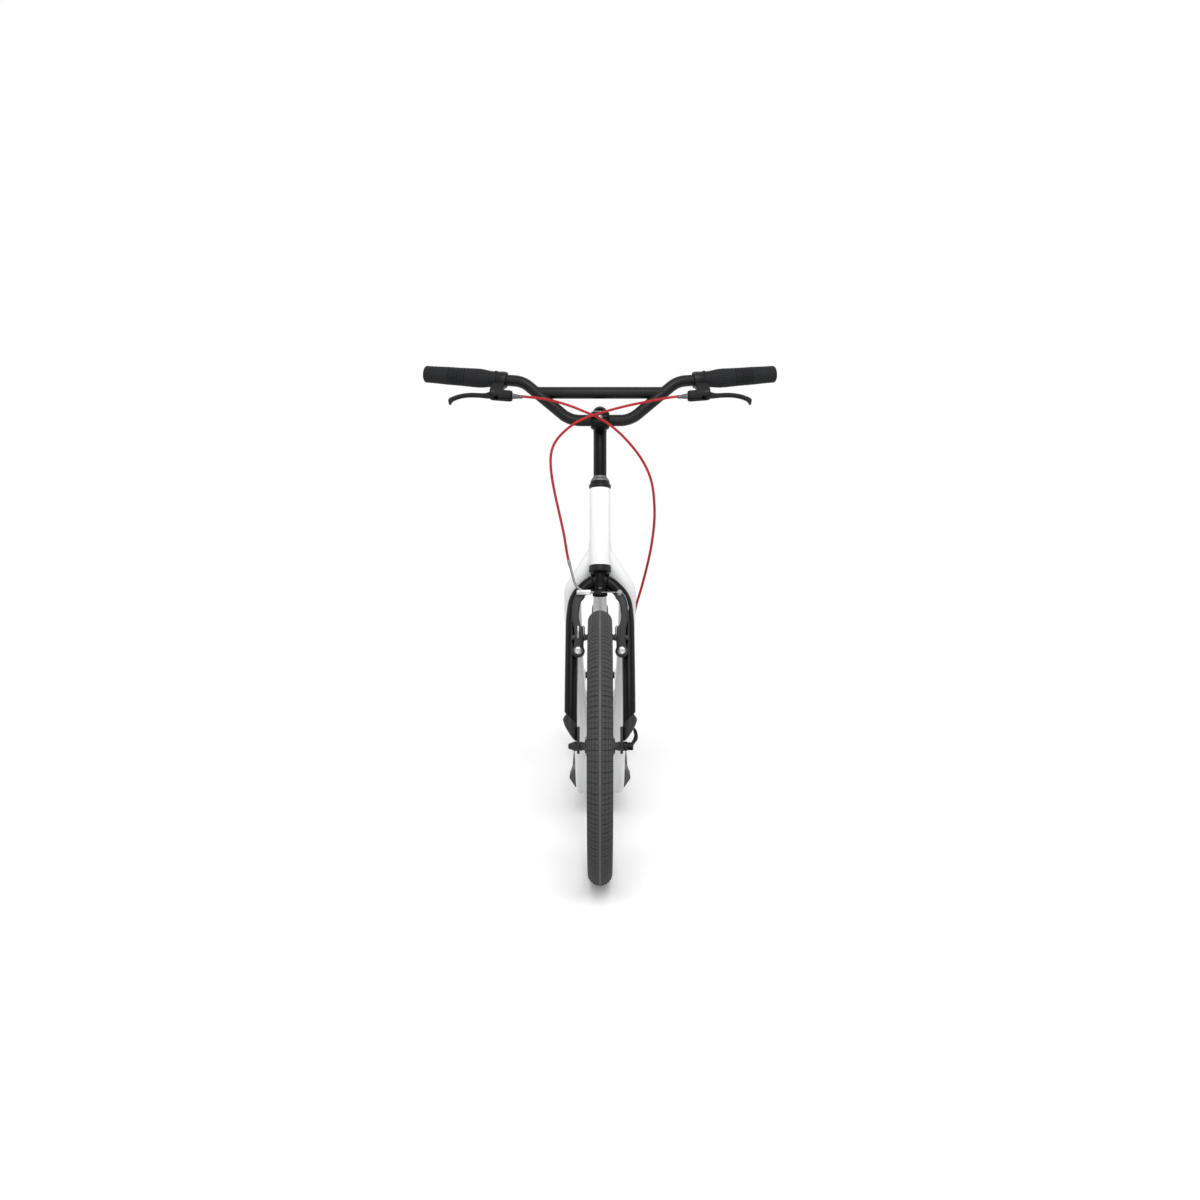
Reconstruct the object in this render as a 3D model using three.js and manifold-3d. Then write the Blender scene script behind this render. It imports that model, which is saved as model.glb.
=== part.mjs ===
// An adult kick bike: a footboard slung low between a large front wheel and a smaller rear wheel,
// a raked fork with a quill stem and a cross-braced handlebar, and a rim brake on each wheel.
// Millimetres, +Z up. The rider looks along -Y, so +X is the rider's left.
import * as THREE from "three";
import { mergeVertices } from "three/addons/utils/BufferGeometryUtils.js";
import Module from "manifold-3d";

const wasm = await Module();
wasm.setup();

// Main layout
const WHEELBASE = 1050;
const STEERING_TILT_DEG = 15.64;
const FORK_RAKE = 38;
const GAP = 0.3; // left between pieces that touch
const OVERRUN = 6; // how far a cutting body passes what it cuts

// Wheels. Radii are from the axle, widths are overall.
const FRONT_WHEEL = {
  seatRadius: 203,
  beadStandoff: 3,
  tyreWidth: 46,
  facetCount: 28,
  spokeCount: 24,
  hubFlangeOut: 22,
  hubCapLong: 6,
};
const REAR_WHEEL = {
  seatRadius: 152.5,
  beadStandoff: 3.5,
  tyreWidth: 44,
  facetCount: 24,
  spokeCount: 20,
  hubFlangeOut: 24,
  hubCapLong: 5.5,
};
for (const wheel of [FRONT_WHEEL, REAR_WHEEL]) {
  wheel.tyreRadius = wheel.seatRadius + wheel.beadStandoff + wheel.tyreWidth;
  wheel.hubEndOut = wheel.hubFlangeOut + wheel.hubCapLong;
}
const TYRE = { wall: 3, crownSteps: 6, cavitySteps: 4, airSides: 6 };
const RIM = {
  halfWidth: 12.5,
  flangeWall: 2,
  flangeHeight: 5,
  seatLedge: 4,
  wellDepth: 2.5,
  wellChamfer: 1.5,
  brakeTrackDrop: 7,
  spokeBedDrop: 15,
  spokeBedHalf: 6,
};
const VALVE = { radius: 4, reach: 36, angleDeg: 90, sides: 6 };
const HUB = {
  boreRadius: 8.6,
  capRadius: 13.5,
  flangeRadius: 19.5,
  flangeWidth: 3,
  flangeFoot: 3,
  barrelRadius: 11,
  facetCount: 12,
};
const SPOKE = { radius: 1.1, circleRadius: 16.5, crossDeg: 51.4, rimSpread: 3, headSpread: 1.6, sides: 3 };
const AXLE = {
  radius: 4.6,
  skewerBore: 2.9,
  coneRadius: 8.2,
  coneLength: 9,
  locknutRadius: 9.4,
  spacerRadius: 7.6,
  locknutWidth: 4.2,
  facetCount: 8,
};

// Fork and its dropouts
const DROPOUT = {
  hubClearance: 9.7,
  thick: 4.7,
  headHalf: 11,
  footHalf: 9,
  headHeight: 36,
  footDrop: 14,
  slotHalf: 4.9,
};
DROPOUT.inner = FRONT_WHEEL.hubEndOut + DROPOUT.hubClearance;
const FORK = {
  bladeRadius: 12,
  bladeOutOfDropout: 16.7,
  crownOverTyre: 69,
  postDrop: 33,
  postRadius: 14.3,
  bladeFootForward: 33,
  bladeSides: 10,
  bladeRings: 11,
  boreRadius: 4,
  boreDrop: 17,
  webHalfThick: 4,
  webTall: 14,
  webDrop: 25,
  webReach: 38,
};
FORK.bladeHalfSpread = DROPOUT.inner + FORK.bladeOutOfDropout;
FORK.crownHeight = FRONT_WHEEL.tyreRadius + FORK.crownOverTyre;
FORK.postFoot = FORK.crownHeight - FORK.postDrop;
FORK.boreHeight = FORK.crownHeight - FORK.boreDrop;
FORK.webFoot = FORK.crownHeight - FORK.webDrop;
// Blade centreline from the crown down: shares of the half spread, of the foot's forward offset
// and of the crown height.
const BLADE_PATH_SHARES = [
  [0.09, 0, 1],
  [0.4, 0, 0.969],
  [0.6, 0.02, 0.938],
  [0.8, 0.06, 0.896],
  [0.9, 0.12, 0.854],
  [0.945, 0.18, 0.806],
  [0.975, 0.28, 0.745],
  [0.99, 0.5, 0.555],
  [1, 0.9, 0.237],
  [1, 1, 0.112],
];
const FORK_TIP = {
  jointInnerHeight: 39,
  jointRise: 21.5,
  seatDepth: 0.4,
  wide: 21.2,
  halfDepth: 12.5,
  centreIn: 13.5,
  halfWide: 14,
  sides: 16,
};
FORK_TIP.inner = DROPOUT.inner + DROPOUT.thick - FORK_TIP.seatDepth;
FORK_TIP.outer = FORK_TIP.inner + FORK_TIP.wide;
FORK_TIP.centreOut = FORK_TIP.inner + FORK_TIP.centreIn;
FORK_TIP.jointOuterHeight = FORK_TIP.jointInnerHeight + FORK_TIP.jointRise;
// Outline of the cast fork tip seen from the front: shares of the tip's outer reach and of the
// joint's outer height.
const TIP_OUTLINE_SHARES = [
  [1.092, 0.84],
  [1.068, 0.71],
  [1.016, 0.58],
  [0.93, 0.43],
  [0.81, 0.25],
  [0.735, 0.175],
  [0.685, 0.165],
];
const SKEWER = {
  radius: 2.5,
  nutInnerRadius: 9.2,
  nutOuterRadius: 4.7,
  nutLength: 16,
  housingRadius: 8.6,
  housingLength: 9,
  headRadius: 7.4,
  headLength: 10,
};
const RELEASE_LEVER = {
  length: 48,
  width: 6.4,
  thick: 4,
  bossRadius: 4.6,
  pinRadius: 2,
  leanDeg: 42,
  sides: 10,
};
// Centreline of the release lever: shares of its length, out from the pin and up.
const RELEASE_LEVER_SHARES = [
  [0, 0],
  [0.1, 0.2],
  [0.16, 0.45],
  [0.15, 0.7],
  [0.19, 1],
];

// Headset: heights are along the steering axis from the foot of the axle's perpendicular.
const HEAD_TUBE = { length: 151.5, radius: 20.2, bore: 17 };
const HEADSET = {
  lipRadius: 21.4,
  lowerLip: 12.5,
  upperLip: 8.5,
  skirt: 12,
  cupBore: 15.2,
  bearingWide: 3,
  bearingTall: 5,
  raceRadius: 17.6,
  raceTall: 5.5,
  raceOverCrown: 7,
  raceClearance: 0.7,
  coneRadius: 19.4,
  coneTall: 5,
  nutRadius: 16,
  nutTall: 6,
  capRadius: 13.7,
  capTall: 5,
  facetCount: 16,
};
HEADSET.raceFoot = FORK.crownHeight + HEADSET.raceOverCrown;
HEAD_TUBE.foot = HEADSET.raceFoot + HEADSET.raceTall + HEADSET.raceClearance + HEADSET.lowerLip + GAP;
HEAD_TUBE.head = HEAD_TUBE.foot + HEAD_TUBE.length;
const STEERER = { bore: 13, belowNut: 1.3 };
STEERER.head = HEAD_TUBE.head + GAP + HEADSET.upperLip + HEADSET.coneTall + HEADSET.nutTall - STEERER.belowNut;

// Stem and handlebar
const STEM = {
  quillRadius: 12.7,
  quillInsert: 58.5,
  rise: 135.5,
  headRadius: 16.5,
  topOverCentre: 24,
  crownRadius: 9,
  shoulderOverCentre: 16,
  reach: 35,
  barUnderCentre: 8,
  clampRadius: 18,
  clampHalfWidth: 18.3,
  neckHalfWidth: 13,
  neckHalfTall: 14,
  facetCount: 14,
};
STEM.quillFoot = HEAD_TUBE.head - STEM.quillInsert;
STEM.headCentre = HEAD_TUBE.head + STEM.rise;
STEM.headTop = STEM.headCentre + STEM.topOverCentre;
STEM.shoulderTop = STEM.headCentre + STEM.shoulderOverCentre;
STEM.barHeight = STEM.headCentre - STEM.barUnderCentre;
const EXPANDER = {
  rodRadius: 4,
  headRadius: 6.5,
  headTall: 7,
  socketRadius: 3,
  socketDeep: 4,
  wedgeTall: 26,
  wedgeSlopeDeg: 22,
  sides: 10,
};
const CLAMP_BOLT = { headRadius: 5, headTall: 5, shankRadius: 3, sides: 10 };
const BAR = {
  radius: 11.1,
  centreHalf: 58,
  riseOut: 150,
  riseUp: 80.5,
  riseBack: 6,
  endOut: 342,
  endUp: 104.5,
  endBack: 32,
  bendRadius: 52,
  bendSteps: 4,
  sides: 10,
  braceRadius: 10,
  braceUp: 57,
};
const GRIP = {
  length: 144,
  flangeRadius: 16.6,
  flangeWide: 4,
  outerTaper: 48,
  innerTaper: 36,
  waistRadius: 15.2,
  bellyRadius: 18.4,
  ringRadius: 17,
  ringWide: 5,
  capThick: 3,
  facetCount: 12,
};

// Brake levers, in a frame at the clamp: out along the bar, ahead towards the blade, and across.
const LEVER = {
  droopDeg: 40.6,
  clampRadius: 16,
  clampHalfWidth: 9,
  bodyInner: 27,
  bodyOuter: 16,
  bodyAhead: 46,
  bodyHalfDeep: 10.5,
  bodyHalfTall: 9.5,
  cheekGap: 11,
  pivotOut: 6,
  mouthFrom: -6,
  pivotPastBody: 1,
  pivotRadius: 2.6,
  pivotSides: 8,
  bladeLength: 96,
  bladeOpenDeg: 10,
  bladeTall: 10,
  armHalfDeep: 8,
  armHalfTall: 7,
};
LEVER.pivotAhead = LEVER.bodyAhead + LEVER.pivotPastBody;
// Plan outline of the lever blade: shares of its length, out from the pivot and ahead of it.
const BLADE_OUTLINE_SHARES = [
  [0.02, 0.085],
  [0.15, 0.12],
  [0.35, 0.125],
  [0.6, 0.09],
  [0.8, 0.045],
  [0.93, 0.05],
  [1, 0.085],
  [1.035, 0.055],
  [1.02, 0.005],
  [0.94, -0.02],
  [0.8, -0.012],
  [0.55, 0.035],
  [0.35, 0.06],
  [0.18, 0.035],
  [0.08, -0.06],
  [0, -0.085],
  [-0.07, -0.03],
  [-0.06, 0.05],
];
const ADJUSTER = { radius: 4.6, neckRadius: 3.4, length: 17, headLong: 10, sides: 8 };

// Rim brakes, in a frame at the axle: across, out along the arms, and away from the studs.
const BRAKE = {
  pivotBelowPad: 26,
  pivotHalfSpread: 40.5,
  armLength: 107,
  plateBack: -4,
  plateFront: 6.6,
  bossRadius: 11.3,
  bossBack: -5.5,
  bossFront: 8,
  bossSides: 12,
  studRadius: 4,
  boltRadius: 7.4,
  boltCrown: 6,
  boltTall: 5.5,
  rootRadius: 7,
  rootSearch: 200,
  padClearance: 2.2,
  padThick: 9.4,
  padHalfLong: 27,
  padHalfTall: 5,
  padSteps: 4,
  postRadius: 3,
  postSides: 6,
  washerFoot: 5.2,
  washerRadius: 6.5,
  nutRadius: 5,
  nutOut: 7.7,
  nutLong: 5,
  cableOverArm: 3,
  cableOut: 11,
  sides: 8,
};
BRAKE.padInner = RIM.halfWidth + BRAKE.padClearance;
BRAKE.cableTop = BRAKE.armLength + BRAKE.cableOverArm;
// Front outline of a brake arm: shares of its length, across from the pivot and along from it.
const ARM_OUTLINE_SHARES = [
  [-0.092, 0.02],
  [-0.092, 0.43],
  [-0.038, 0.445],
  [-0.01, 0.56],
  [0.004, 0.71],
  [-0.036, 0.87],
  [-0.115, 0.95],
  [-0.115, 1.02],
  [0.03, 1.02],
  [0.078, 0.94],
  [0.112, 0.8],
  [0.112, 0.58],
  [0.076, 0.4],
  [0.06, 0.2],
  [0.09, 0.02],
];
const NOODLE = {
  radius: 2.7,
  tipAcross: -12,
  bendFrom: -20,
  bendRadius: 30,
  bendSteps: 6,
  linkRadius: 4,
  linkFrom: -44,
  linkSides: 8,
  sides: 6,
};
const LINK_CABLE = {
  radius: 1,
  bootRadius: 3.6,
  bootLong: 14,
  anchorRadius: 3.6,
  anchorTall: 5,
  tailOut: 11.3,
  tailDrop: 34,
  sides: 6,
};
const FRONT_BRAKE_FIT = { bendDeg: 75, lead: 40 };
const REAR_BRAKE_FIT = { bendDeg: 110, lead: 6 };
const REAR_BRAKE_TILT_DEG = 22;

// Frame
const RAIL = {
  radius: 17,
  halfSpread: 35.5,
  height: 73,
  levelPastTyre: 178,
  sides: 10,
  frontRings: 14,
  rearRings: 7,
  straightPastBoard: 30,
};
const SHOULDER_HALF_SPREAD = 54;
const HEAD_JOINT = { aboveFoot: 26.06 };
const DOWN_TUBE = { radius: 13.3, sides: 10, rings: 8 };
const BRIDGE = { radius: 10, pastTyre: 148, underRail: 7, aheadOfRearTyre: 50, sides: 10 };
BRIDGE.back = FRONT_WHEEL.tyreRadius + BRIDGE.pastTyre;
BRIDGE.height = RAIL.height - BRIDGE.underRail;
BRIDGE.rearBack = WHEELBASE - REAR_WHEEL.tyreRadius - BRIDGE.aheadOfRearTyre;
const STAY_PLATE = {
  hubClearance: 9.5,
  tubeOut: 11.5,
  thick: 6,
  noseRadius: 14,
  rootForward: 62,
  rootDrop: 60,
  rootHalf: 9,
  slotHalf: 5.3,
};
STAY_PLATE.inner = REAR_WHEEL.hubEndOut + STAY_PLATE.hubClearance;
const REAR_STAY_HALF_SPREAD = STAY_PLATE.inner + STAY_PLATE.tubeOut;
// Side tube centreline from the head tube down to the footboard: shares of the spread between
// rail and shoulder, of the run back and of the fall.
const FRONT_RUN_SHARES = [
  [-1.595, 0, 1],
  [0.08, 0.037, 0.905],
  [0.93, 0.081, 0.852],
  [1, 0.125, 0.809],
  [0.92, 0.272, 0.676],
  [0.81, 0.426, 0.544],
  [0.42, 0.585, 0.335],
  [0.06, 0.71, 0.155],
  [0, 0.813, 0.055],
  [0, 1, 0],
];
// Side tube centreline behind the footboard: shares of the spread between rail and stay, of the
// run to the rear axle and of the rise to it.
const REAR_RUN_SHARES = [
  [0, 0, 0],
  [0.33, 0.286, 0.03],
  [0.68, 0.464, 0.16],
  [0.93, 0.624, 0.39],
  [1, 0.768, 0.62],
  [1, 0.864, 0.79],
];
// Down tube centreline: shares of the run back from the head tube and of the fall to the bridge.
const DOWN_TUBE_SHARES = [
  [-0.031, 0.951],
  [0.072, 0.849],
  [0.307, 0.662],
  [0.662, 0.344],
  [0.884, 0.12],
  [1, 0],
];
const BOARD = {
  pastFrontTyre: 165,
  aheadOfRearTyre: 115,
  overhang: 8.5,
  thick: 15.7,
  edgeDrop: 6,
  edgeRound: 4,
  ridgeCount: 9,
  grooveDeep: 1.2,
  grooveHalf: 2,
  fieldMargin: 9,
  rearCorner: 26,
};
BOARD.front = FRONT_WHEEL.tyreRadius + BOARD.pastFrontTyre;
BOARD.rear = WHEELBASE - REAR_WHEEL.tyreRadius - BOARD.aheadOfRearTyre;
BOARD.halfWidth = RAIL.halfSpread + RAIL.radius + BOARD.overhang;
BOARD.fieldHalf = BOARD.halfWidth - BOARD.fieldMargin;
const BUMPER = {
  length: 52,
  lead: 17,
  topInset: 2,
  ridgeOut: 6,
  ridgeOverRail: 14,
  footOut: 0.9,
  footUnderRail: 7,
  wallIn: 12.5,
};
const REAR_NUT = { radius: 9.5, length: 9, sides: 12, studLong: 4 };

// Cable housings. The route points are set by hand.
const HOUSING = { radius: 2.5, sides: 8, step: 15 };
const FRONT_CABLE_ROUTE = [
  [155.7, -54.2, 668.4],
  [140, -56.4, 666.3],
  [105, -60, 658.5],
  [56.5, -68, 646],
  [8, -74, 631],
  [-40, -76, 613],
  [-69, -76, 591],
  [-89, -74, 566],
  [-94, -71, 541],
  [-92, -67, 511],
  [-86, -63, 477],
  [-74, -57, 424],
  [-67, -53, 392],
  [-62, -49.4, 358],
  [-59.4, -49, 348.3],
];
const REAR_CABLE_ROUTE = [
  [-155.7, 164.6, 900],
  [-140, 161.8, 898.5],
  [-109, 157, 895],
  [-65, 151, 884],
  [-21, 147, 866.5],
  [3, 144, 856],
  [32, 139, 834.5],
  [56.5, 136.5, 810],
  [81, 138, 778],
  [98.5, 142, 740],
  [105, 149, 692],
  [105.5, 154.5, 663],
  [101, 165, 617],
  [94, 177, 578],
  [83, 194, 530],
  [77, 200, 508],
  [72.1, 207.7, 492],
  [71.3, 211.8, 485.5],
];
const FRAME_CABLE_ROUTE = [
  [71.2, 212.1, 485],
  [70.4, 216.3, 478.4],
  [67.2, 229.3, 463],
  [63, 247, 438],
  [57, 267.3, 411],
  [50.5, 292.3, 369],
  [45, 310, 327],
  [38.5, 323.7, 286],
  [33, 336.3, 247],
  [29.5, 350, 207],
  [23, 362.3, 166],
  [22, 374.3, 137],
  [20.3, 384.8, 118],
  [18.5, 395, 104],
  [16.3, 404, 95],
  [16, 411, 87.6],
  [16.5, 420, 86.8],
  [18, 440, 87.4],
  [18.2, 520, 87.5],
  [18.2, 620, 87.5],
  [18.2, 690, 87.5],
];
const TAIL_CABLE_ROUTE = [
  [18.2, 690.4, 87.5],
  [18.3, 715, 87.5],
  [20, 737, 87.2],
  [24, 748, 90],
  [33, 760, 94.2],
  [42, 773.6, 100.2],
  [46, 783.8, 104.3],
];

// Colours
const PAINT_WHITE = new THREE.MeshStandardMaterial({ color: "#eceded", roughness: 0.3, metalness: 0 });
const PAINT_BLACK = new THREE.MeshStandardMaterial({ color: "#18191b", roughness: 0.35, metalness: 0.1 });
const DARK_GREY = new THREE.MeshStandardMaterial({ color: "#3b3c3f", roughness: 0.5, metalness: 0.3 });
const BRIGHT_STEEL = new THREE.MeshStandardMaterial({ color: "#c9cacc", roughness: 0.25, metalness: 1 });
const ALLOY = new THREE.MeshStandardMaterial({ color: "#9da0a4", roughness: 0.4, metalness: 1 });
const TYRE_RUBBER = new THREE.MeshStandardMaterial({ color: "#3f4042", roughness: 0.85, metalness: 0 });
const BLACK_RUBBER = new THREE.MeshStandardMaterial({ color: "#202123", roughness: 0.8, metalness: 0 });
const BOARD_PLASTIC = new THREE.MeshStandardMaterial({ color: "#4a4b4d", roughness: 0.7, metalness: 0 });
const CABLE_RED = new THREE.MeshStandardMaterial({ color: "#b3141a", roughness: 0.4, metalness: 0 });

const MERGE_DISTANCE = 1e-4;
const HALF_TURN = Math.PI;
const QUARTER_TURN = Math.PI / 2;
const rad = THREE.MathUtils.degToRad;
const point = (x, y, z) => new THREE.Vector3(x, y, z);
// The radius of a faceted hole whose flats clear a round piece by the gap.
const around = (radius, sides) => (radius + GAP) / Math.cos(Math.PI / sides);

// Solids

function solid(geometry) {
  for (const name of Object.keys(geometry.attributes)) {
    if (name !== "position") geometry.deleteAttribute(name);
  }
  const merged = mergeVertices(geometry, MERGE_DISTANCE);
  const corners = merged.index.array;
  const kept = [];
  for (let i = 0; i < corners.length; i += 3) {
    const [a, b, c] = [corners[i], corners[i + 1], corners[i + 2]];
    if (a !== b && b !== c && c !== a) kept.push(a, b, c);
  }
  const vertProperties = merged.attributes.position.array;
  const made = (triVerts) => new wasm.Manifold(new wasm.Mesh({ numProp: 3, vertProperties, triVerts }));
  const first = made(new Uint32Array(kept));
  if (first.volume() >= 0) return first;
  return made(new Uint32Array(kept).reverse());
}

function geometryOf(body) {
  const mesh = body.getMesh();
  const geometry = new THREE.BufferGeometry();
  geometry.setAttribute("position", new THREE.BufferAttribute(new Float32Array(mesh.vertProperties), 3));
  geometry.setIndex(new THREE.BufferAttribute(new Uint32Array(mesh.triVerts), 1));
  return geometry;
}

function joined(...bodies) {
  return bodies.reduce((sum, body) => sum.add(body));
}

function cut(body, ...tools) {
  return tools.reduce((left, tool) => left.subtract(tool), body);
}

function moved(body, matrix) {
  return solid(geometryOf(body).applyMatrix4(matrix));
}

function mirrored(body) {
  return solid(geometryOf(body).scale(-1, 1, 1));
}

// A turned body: profile points are [radius, height], and the axis is Z.
function turned(profile, sides) {
  const points = profile.map(([radius, height]) => new THREE.Vector2(radius, height));
  return new THREE.LatheGeometry(points, sides).rotateX(QUARTER_TURN);
}

// A ring of rectangular section about Z.
function ring(bore, radius, foot, head, sides) {
  return turned([[bore, foot], [radius, foot], [radius, head], [bore, head], [bore, foot]], sides);
}

function closedRing(profile, sides) {
  return turned([...profile, profile[0]], sides);
}

// Turns a body made along Z so that it lies along X.
function alongX(geometry) {
  return geometry.rotateY(QUARTER_TURN);
}

// Turns a body made along Z so that it lies along Y.
function alongY(geometry) {
  return geometry.rotateX(-QUARTER_TURN);
}

function rod(radius, from, to, sides, endRadius = radius) {
  const run = to.clone().sub(from);
  const geometry = new THREE.CylinderGeometry(endRadius, radius, run.length(), sides);
  const turn = new THREE.Quaternion().setFromUnitVectors(point(0, 1, 0), run.normalize());
  const middle = from.clone().add(to).multiplyScalar(1 / 2);
  return geometry.applyQuaternion(turn).translate(middle.x, middle.y, middle.z);
}

function block([x0, x1], [y0, y1], [z0, z1]) {
  const geometry = new THREE.BoxGeometry(x1 - x0, y1 - y0, z1 - z0);
  return geometry.translate((x0 + x1) / 2, (y0 + y1) / 2, (z0 + z1) / 2);
}

// A curve that visits its stations one by one, so each ring of a tube lies where it is needed.
class Stations extends THREE.Curve {
  constructor(points) {
    super();
    this.points = points;
  }
  getPoint(t) {
    const place = t * (this.points.length - 1);
    const before = Math.min(Math.floor(place), this.points.length - 2);
    return this.points[before].clone().lerp(this.points[before + 1], place - before);
  }
  getPointAt(t) {
    return this.getPoint(t);
  }
  getTangentAt(t) {
    const place = Math.round(t * (this.points.length - 1));
    const last = this.points.length - 1;
    const ahead = this.points[Math.min(place + 1, last)];
    const behind = this.points[Math.max(place - 1, 0)];
    return ahead.clone().sub(behind).normalize();
  }
}

function circle(radius, sides) {
  const shape = new THREE.Shape();
  for (let i = 0; i < sides; i += 1) {
    const angle = ((i + 1 / 2) * 2 * Math.PI) / sides;
    const at = [radius * Math.cos(angle), radius * Math.sin(angle)];
    if (i === 0) shape.moveTo(...at);
    else shape.lineTo(...at);
  }
  shape.closePath();
  return shape;
}

// A round bar whose rings stand at the given points.
function tube(points, radius, sides) {
  const path = new Stations(points);
  return new THREE.ExtrudeGeometry(circle(radius, sides), { steps: points.length - 1, extrudePath: path });
}

// Evenly spaced points of a smooth curve through the given ones.
function smooth(points, steps) {
  return new THREE.CatmullRomCurve3(points, false, "centripetal").getSpacedPoints(steps);
}

// A path with straight runs, whose corners are rounded to the bend radius.
function rounded(corners, bendRadius, bendSteps) {
  const path = [corners[0]];
  for (let i = 1; i < corners.length - 1; i += 1) {
    const back = corners[i - 1].clone().sub(corners[i]).normalize();
    const on = corners[i + 1].clone().sub(corners[i]).normalize();
    const halfAngle = back.angleTo(on) / 2;
    const start = corners[i].clone().addScaledVector(back, bendRadius / Math.tan(halfAngle));
    const toCentre = back.clone().add(on).normalize();
    const centre = corners[i].clone().addScaledVector(toCentre, bendRadius / Math.sin(halfAngle));
    const spoke = start.sub(centre);
    const turnAxis = spoke.clone().cross(on).normalize();
    for (let k = 0; k <= bendSteps; k += 1) {
      const turned = spoke.clone().applyAxisAngle(turnAxis, ((Math.PI - 2 * halfAngle) * k) / bendSteps);
      path.push(centre.clone().add(turned));
    }
  }
  path.push(corners[corners.length - 1]);
  return path;
}

function outline(points) {
  return new THREE.Shape(points.map(([x, y]) => new THREE.Vector2(x, y)));
}

// A plate cut to an outline, from one height to another along Z.
function plate(points, from, to) {
  const geometry = new THREE.ExtrudeGeometry(outline(points), { depth: to - from, bevelEnabled: false });
  return geometry.translate(0, 0, from);
}

// A plate whose outline is given as [across, up], reaching from one Y to another.
function uprightPlate(points, from, to) {
  return alongY(plate(points.map(([x, z]) => [x, -z]), from, to));
}

// A plate whose outline is given as [back, up], reaching from one X to another.
function sidePlate(points, from, to) {
  const turn = new THREE.Matrix4().makeBasis(point(0, 1, 0), point(0, 0, 1), point(1, 0, 0));
  return plate(points, from, to).applyMatrix4(turn);
}

// Frames of reference

const kickBike = new THREE.Group();
const chassis = new THREE.Group(); // the front axle's line is at Y = 0 here
chassis.position.y = (FRONT_WHEEL.tyreRadius - WHEELBASE - REAR_WHEEL.tyreRadius) / 2;
kickBike.add(chassis);

const tilt = rad(STEERING_TILT_DEG);
const steering = new THREE.Group(); // Z is the steering axis, and -Y points forward
steering.position.set(0, FORK_RAKE * Math.cos(tilt), FRONT_WHEEL.tyreRadius - FORK_RAKE * Math.sin(tilt));
steering.rotation.x = -tilt;
steering.updateMatrix();
chassis.add(steering);

const frontBrake = new THREE.Group();
frontBrake.position.y = -FORK_RAKE;
frontBrake.rotation.x = QUARTER_TURN;
frontBrake.updateMatrix();
steering.add(frontBrake);

const rearTilt = rad(REAR_BRAKE_TILT_DEG);
const rearBrake = new THREE.Group();
rearBrake.matrixAutoUpdate = false;
rearBrake.matrix
  .makeBasis(
    point(-1, 0, 0),
    point(0, -Math.cos(rearTilt), -Math.sin(rearTilt)),
    point(0, -Math.sin(rearTilt), Math.cos(rearTilt)),
  )
  .setPosition(0, WHEELBASE, REAR_WHEEL.tyreRadius);
chassis.add(rearBrake);

function piece(name, body, material, group) {
  const mesh = new THREE.Mesh(geometryOf(body), material);
  mesh.name = name;
  mesh.geometry.computeVertexNormals();
  group.add(mesh);
  return mesh;
}

function pair(name, leftBody, material, group) {
  piece(name + "_left", leftBody, material, group);
  piece(name + "_right", mirrored(leftBody), material, group);
}

// Wheels

function arcSteps(centre, radius, from, to, steps) {
  const points = [];
  for (let i = 0; i <= steps; i += 1) {
    const angle = from + ((to - from) * i) / steps;
    points.push([centre + radius * Math.cos(angle), radius * Math.sin(angle)]);
  }
  return points;
}

function tyreBody(wheel) {
  const half = wheel.tyreWidth / 2;
  const centre = wheel.tyreRadius - half;
  const beadOut = RIM.halfWidth - RIM.flangeWall - GAP;
  const beadIn = beadOut - TYRE.wall;
  const foot = wheel.seatRadius + GAP;
  const outerEnd = HALF_TURN - Math.asin(beadOut / half);
  const cavity = half - TYRE.wall;
  const innerEnd = HALF_TURN - Math.asin(beadIn / cavity);
  const profile = [
    [foot, -beadOut],
    ...arcSteps(centre, half, -outerEnd, outerEnd, TYRE.crownSteps),
    [foot, beadOut],
    [foot, beadIn],
    ...arcSteps(centre, cavity, innerEnd, -innerEnd, TYRE.cavitySteps),
    [foot, -beadIn],
  ];
  return solid(alongX(closedRing(profile, wheel.facetCount)));
}

function rimBody(wheel, valveTool) {
  const seat = wheel.seatRadius;
  const half = RIM.halfWidth;
  const lip = half - RIM.flangeWall;
  const ledge = lip - RIM.seatLedge;
  const well = ledge - RIM.wellChamfer;
  const sideOf = (sign) => [
    [seat - RIM.spokeBedDrop, RIM.spokeBedHalf * sign],
    [seat - RIM.brakeTrackDrop, half * sign],
    [seat + RIM.flangeHeight, half * sign],
    [seat + RIM.flangeHeight, lip * sign],
    [seat, lip * sign],
    [seat, ledge * sign],
    [seat - RIM.wellDepth, well * sign],
  ];
  const profile = [...sideOf(-1), ...sideOf(1).reverse()];
  return cut(solid(alongX(closedRing(profile, wheel.facetCount))), valveTool);
}

// The valve points in from the tube, between two spokes.
function valveRod(wheel, radius, from, to) {
  const angle = rad(VALVE.angleDeg);
  const at = (r) => point(0, r * Math.cos(angle), r * Math.sin(angle));
  return solid(rod(radius, at(from), at(to), VALVE.sides));
}

function innerTubeBody(wheel) {
  const half = wheel.tyreWidth / 2;
  const centre = wheel.tyreRadius - half;
  const cavity = half - TYRE.wall;
  const open = Math.asin((RIM.halfWidth - RIM.flangeWall - GAP - TYRE.wall) / cavity);
  const radius = cavity * Math.cos((HALF_TURN - open) / TYRE.cavitySteps) - GAP;
  const section = arcSteps(centre, radius, 0, 2 * Math.PI, TYRE.airSides).slice(0, -1);
  const ringBody = solid(alongX(closedRing(section, wheel.facetCount)));
  return joined(ringBody, valveRod(wheel, VALVE.radius, centre - radius / 2, wheel.seatRadius - VALVE.reach));
}

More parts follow.
